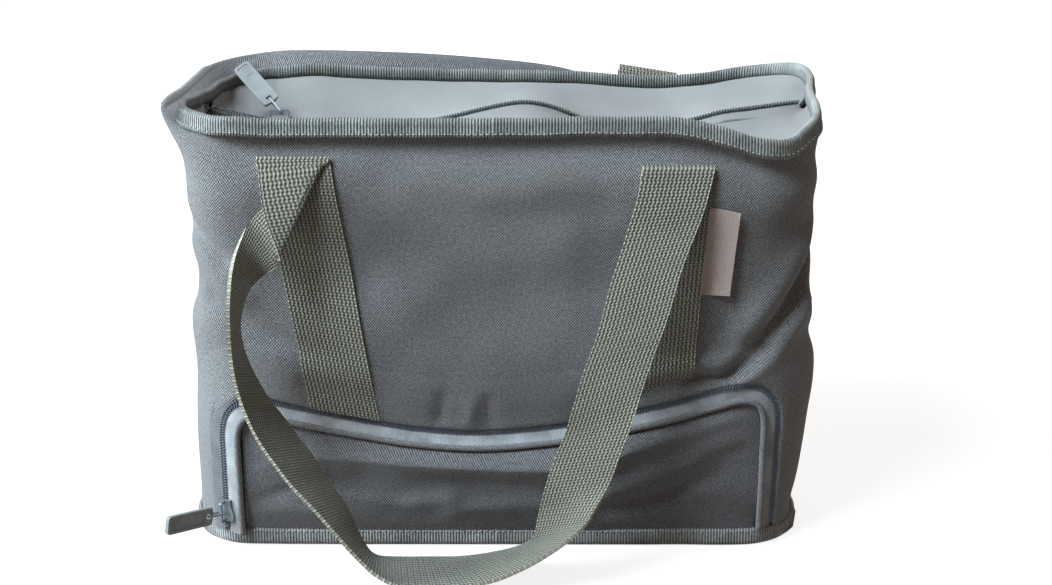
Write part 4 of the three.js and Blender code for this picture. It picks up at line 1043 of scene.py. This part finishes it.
# Edges of the front handle from its right fold down, across and up to its left fold
FRONT_LOOP = [
    ((73.5, -86.4, 202.8), (108.5, -86.4, 202.8)), ((73.5, -86.4, 204.4), (108.5, -86.4, 204.4)),
    ((73.5, -86.8, 204.9), (108.5, -86.8, 204.9)), ((73.5, -87.3, 204.4), (108.5, -87.3, 204.4)),
    ((73.2, -87.6, 202.3), (108.1, -87.6, 202.4)), ((70.4, -90.4, 188.6), (104.9, -91.6, 190.0)),
    ((66.2, -92.4, 174.6), (101.2, -94.0, 178.5)), ((61.9, -95.9, 160.9), (96.7, -97.1, 167.6)),
    ((57.5, -99.8, 147.6), (92.3, -100.2, 155.8)), ((51.2, -106.0, 124.4), (85.6, -106.0, 133.4)),
    ((44.8, -110.5, 107.7), (79.0, -110.5, 115.8)), ((39.4, -114.5, 90.0), (73.4, -115.5, 99.6)),
    ((35.5, -114.5, 75.7), (68.2, -121.0, 83.2)), ((30.0, -115.5, 60.4), (62.5, -125.5, 68.6)),
    ((25.4, -116.0, 44.7), (57.0, -128.0, 53.6)), ((23.2, -113.5, 31.8), (50.4, -132.5, 42.4)),
    ((21.8, -112.0, 22.0), (46.0, -134.5, 35.5)), ((18.5, -109.5, 14.0), (37.6, -136.5, 28.0)),
    ((9.8, -107.0, 8.6), (27.6, -137.2, 20.5)), ((-4.5, -105.0, 4.2), (14.5, -138.0, 12.8)),
    ((-19.0, -104.0, 1.9), (-2.0, -138.5, 6.0)), ((-34.0, -104.3, 1.9), (-26.0, -138.8, 2.6)),
    ((-50.0, -104.5, 1.9), (-46.0, -138.8, 3.4)), ((-61.0, -104.5, 2.6), (-58.5, -138.0, 9.5)),
    ((-66.3, -104.7, 6.5), (-66.6, -137.4, 17.4)), ((-71.3, -104.5, 16.2), (-74.4, -137.5, 27.1)),
    ((-75.3, -104.6, 27.5), (-82.3, -137.3, 37.5)), ((-80.3, -105.0, 37.4), (-90.5, -136.9, 47.7)),
    ((-86.0, -105.3, 47.5), (-98.4, -136.6, 57.0)), ((-91.4, -105.8, 58.0), (-106.0, -135.9, 68.0)),
    ((-98.8, -105.3, 68.8), (-112.8, -135.5, 79.0)), ((-107.0, -104.0, 79.8), (-117.8, -135.5, 90.3)),
    ((-113.8, -103.2, 89.2), (-121.4, -135.1, 101.4)), ((-120.3, -102.3, 101.0), (-123.9, -134.8, 113.2)),
    ((-124.6, -102.3, 112.6), (-125.0, -134.2, 126.0)), ((-126.4, -103.4, 124.0), (-124.8, -134.8, 137.0)),
    ((-125.9, -104.0, 133.3), (-124.5, -134.5, 147.0)), ((-123.0, -103.0, 143.3), (-124.1, -131.5, 155.9)),
    ((-119.5, -101.5, 150.0), (-123.8, -126.5, 163.3)), ((-115.0, -100.5, 153.8), (-123.4, -116.5, 169.2)),
    ((-109.4, -102.0, 156.9), (-122.2, -104.5, 174.1)), ((-103.3, -106.2, 160.9), (-120.4, -95.0, 178.3)),
    ((-104.6, -106.6, 166.4), (-117.4, -91.0, 182.3)), ((-106.8, -105.2, 171.4), (-113.0, -89.4, 186.0)),
    ((-109.0, -103.2, 176.3), (-107.2, -88.8, 190.6)), ((-111.0, -101.0, 181.3), (-101.7, -88.4, 195.0)),
    ((-112.7, -98.4, 186.6), (-95.8, -88.2, 199.0)), ((-114.0, -95.6, 192.6), (-89.6, -88.0, 203.0)),
    ((-115.0, -92.2, 199.8), (-83.4, -87.8, 206.4)), ((-115.6, -88.6, 206.6), (-80.8, -88.0, 208.0)),
    ((-115.8, -88.0, 209.4), (-80.4, -87.8, 209.6)), ((-115.9, -86.4, 210.9), (-80.3, -86.4, 210.9)),
    ((-115.9, -84.8, 210.2), (-80.3, -84.8, 210.2)), ((-115.9, -84.3, 208.4), (-80.3, -84.3, 208.4)),
]


def folded(left, u, a, b, point):
    """The left leg is folded back on itself along a slanting crease below its turn."""
    top, tip = Vector((-81.4, -88.9, 208.6)), Vector((-103.3, -106.2, 160.9))
    share = (a.z - tip.z) / (top.z - 4.0 - tip.z)
    if share <= 0 or share >= 1 or left > 70:
        return point
    corner = tip.lerp(top, share)
    bend = max(0.03, min(0.97, share))

    def sharp(s):
        s = min(1.0, max(0.0, s))
        return a.lerp(corner, s / bend) if s < bend else corner.lerp(b, (s - bend) / (1 - bend))

    return (sharp(u - 0.07) + sharp(u - 0.03) + sharp(u + 0.03) + sharp(u + 0.07)) / 4


bm = strip(FRONT_LOOP, 24, 2.0, folded)
piece("front_handle_web", bm, WEBBING, "front_handle", ["front_handle_loop"])


def stationed(centres):
    """Edge pairs from centres and the way across."""
    pairs = []
    for point, across in centres:
        half = Vector(across).normalized() * HALF_WEB
        pairs.append((Vector(point) - half, Vector(point) + half))
    return pairs


# Middle of the rear handle's right leg and its way across
REAR_LEG = [
    ((89, 94.4, 227.6), (1, 0, -0.16)), ((89, 98.8, 227.2), (1, 0, -0.16)),
    ((88.6, 102, 223), (1, 0, -0.12)), ((88, 103.6, 214), (1, 0, -0.1)), ((80, 107.8, 158), (1, 0, -0.15)),
    ((64, 116, 93), (1, 0.05, -0.25)), ((50, 124, 48.9), (1, 0.25, -0.3)),
    ((36, 130, 17), (0.8, 0.7, -0.2)), ((18, 130, 3.4), (0.2, 1, 0)),
]


def rear_loop():
    left = [((-x, y, z), (-ax, ay, az)) for (x, y, z), (ax, ay, az) in reversed(REAR_LEG)]
    return stationed(REAR_LEG + [((0, 129, 2.2), (0, 1, 0))] + left)


bm = strip(rear_loop(), 14, 2.4)
piece("rear_handle_web", bm, WEBBING, "rear_handle", ["rear_handle_loop"])
for name, x, dip in (("left", -89, -2.8), ("right", 89, 2.8)):
    stations = back_run(x)
    for height, out in ((198, 2.8), (208, 3.2), (216, 4.0)):
        y, tip = HALF_DEPTH + out, dip * 0.5
        stations.append(((x + HALF_WEB, y, height - tip), (x - HALF_WEB, y, height + tip)))
    for k in range(7):
        turn = math.pi / 2 * k / 6
        y, z = 87.6 + 7.0 * (1 - math.cos(turn)), 221 + 6.6 * math.sin(turn)
        stations.append(((x + HALF_WEB, y, z - dip), (x - HALF_WEB, y, z + dip)))
    bm = strip(stations, 12, 2.0)
    piece(f"back_strap_{name}_web", bm, WEBBING, "shell", [f"back_strap_{name}"])


# Blank label beside the right front strap
def label_place(u, v):
    height = mix(139.5, 186.0, v)
    x = mix(mix(103.5, 105.5, v), mix(118.5, 121.8, v), u)
    lift = 0.9 + 2.2 * u * u + 0.8 * (1 - v) * u
    return wall(x, height, lift, FRONT), (u * 16, v * 46)


piece("side_label_blank", laid(14, 24, label_place, 0.9), LABEL, "shell", ["side_label"])

# Camera at the photograph's place
CAMERA = (20.98, -766.18, 345.33)
PITCH, YAW, ROLL = 0.2917095, -0.007116, -0.0015016
SENSOR, FOCAL_IN_PIXELS, PHOTO_WIDTH = 36.0, 1410.768, 1052
ahead = Vector((math.sin(YAW) * math.cos(PITCH), math.cos(YAW) * math.cos(PITCH), -math.sin(PITCH)))
right = Vector((math.cos(YAW), -math.sin(YAW), 0.0))
up = right.cross(ahead)
right, up = right * math.cos(ROLL) + up * math.sin(ROLL), up * math.cos(ROLL) - right * math.sin(ROLL)
camera = bpy.data.objects.new("camera", bpy.data.cameras.new("camera"))
camera.data.sensor_fit = "HORIZONTAL"
camera.data.sensor_width = SENSOR
camera.data.lens = SENSOR * FOCAL_IN_PIXELS / PHOTO_WIDTH
camera.data.clip_start = 0.01
turn = Matrix((right, up, -ahead)).transposed().to_4x4()
camera.matrix_world = Matrix.Translation(Vector(CAMERA) * MM) @ turn
bpy.context.scene.collection.objects.link(camera)
bpy.context.scene.camera = camera


# Light: a large cool window high on the left, fills from the left and behind, a dim warm room
BAG_MIDDLE = (0, 0, 0.12)


def panel_light(name, place, wide, power, colour):
    lamp = bpy.data.lights.new(name, "AREA")
    lamp.shape = "DISK"
    lamp.size = wide
    lamp.energy = power
    lamp.color = colour
    obj = bpy.data.objects.new(name, lamp)
    way = Vector(BAG_MIDDLE) - Vector(place)
    turn = way.to_track_quat("-Z", "Y").to_matrix().to_4x4()
    obj.matrix_world = Matrix.Translation(place) @ turn
    bpy.context.scene.collection.objects.link(obj)


panel_light("window", (-1.2, -1.0, 2.05), 1.1, 74, (0.76, 0.89, 1.0))
panel_light("left_fill", (-2.2, -0.3, 0.9), 1.1, 70, (0.82, 0.93, 1.0))
panel_light("back_fill", (0.2, 2.4, 0.95), 1.0, 30, (1.0, 0.97, 0.94))


def seen_by_eye(tree):
    """1 on rays to the camera, also by way of a mirror or a clear surface."""
    rays = knot(tree, "ShaderNodeLightPath").outputs
    bent = sums(tree, "MAXIMUM", rays["Is Glossy Ray"], rays["Is Transmission Ray"])
    return sums(tree, "MAXIMUM", rays["Is Camera Ray"], bent)


world = bpy.data.worlds.new("room")
bpy.context.scene.world = world
world.use_nodes = True
tree = world.node_tree
sky = tree.nodes["Background"]
sky.inputs[0].default_value = (0.1, 0.062, 0.036, 1)
white = knot(tree, "ShaderNodeBackground", {0: (1, 1, 1, 1), 1: 1.0})
seen = seen_by_eye(tree)
both = knot(tree, "ShaderNodeMixShader", {0: seen, 1: sky.outputs[0], 2: white.outputs[0]})
tree.links.new(both.outputs[0], tree.nodes["World Output"].inputs[0])

# Floor: white to the eye, keeps the shadow near the bag, throws back little light
floor_mat = bpy.data.materials.new("white floor")
floor_mat.use_nodes = True
tree = floor_mat.node_tree
tree.nodes.remove(tree.nodes["Principled BSDF"])
seen = seen_by_eye(tree)
pale = knot(tree, "ShaderNodeBsdfDiffuse", {0: (0.28, 0.28, 0.28, 1)})
spot = knot(tree, "ShaderNodeTexCoord").outputs["Object"]
far = knot(tree, "ShaderNodeVectorMath", {0: spot}, operation="LENGTH").outputs["Value"]
fade = ranged(tree, far, 0.5, 1.6, 0.86, 1.0)
glow = knot(tree, "ShaderNodeEmission", {0: (1, 1, 1, 1), 1: fade})
lit = knot(tree, "ShaderNodeAddShader", {0: pale.outputs[0], 1: glow.outputs[0]})
dull = knot(tree, "ShaderNodeBsdfDiffuse", {0: (0.25, 0.21, 0.185, 1)})
both = knot(tree, "ShaderNodeMixShader", {0: seen, 1: dull.outputs[0], 2: lit.outputs[0]})
tree.links.new(both.outputs[0], tree.nodes["Material Output"].inputs[0])
bm = bmesh.new()
bmesh.ops.create_grid(bm, x_segments=8, y_segments=8, size=9.0)
mesh = bpy.data.meshes.new("floor")
bm.to_mesh(mesh)
bm.free()
mesh.materials.append(floor_mat)
floor = bpy.data.objects.new("floor", mesh)
floor.location.z = -0.0004
bpy.context.scene.collection.objects.link(floor)

bpy.context.scene.view_settings.view_transform = "Standard"
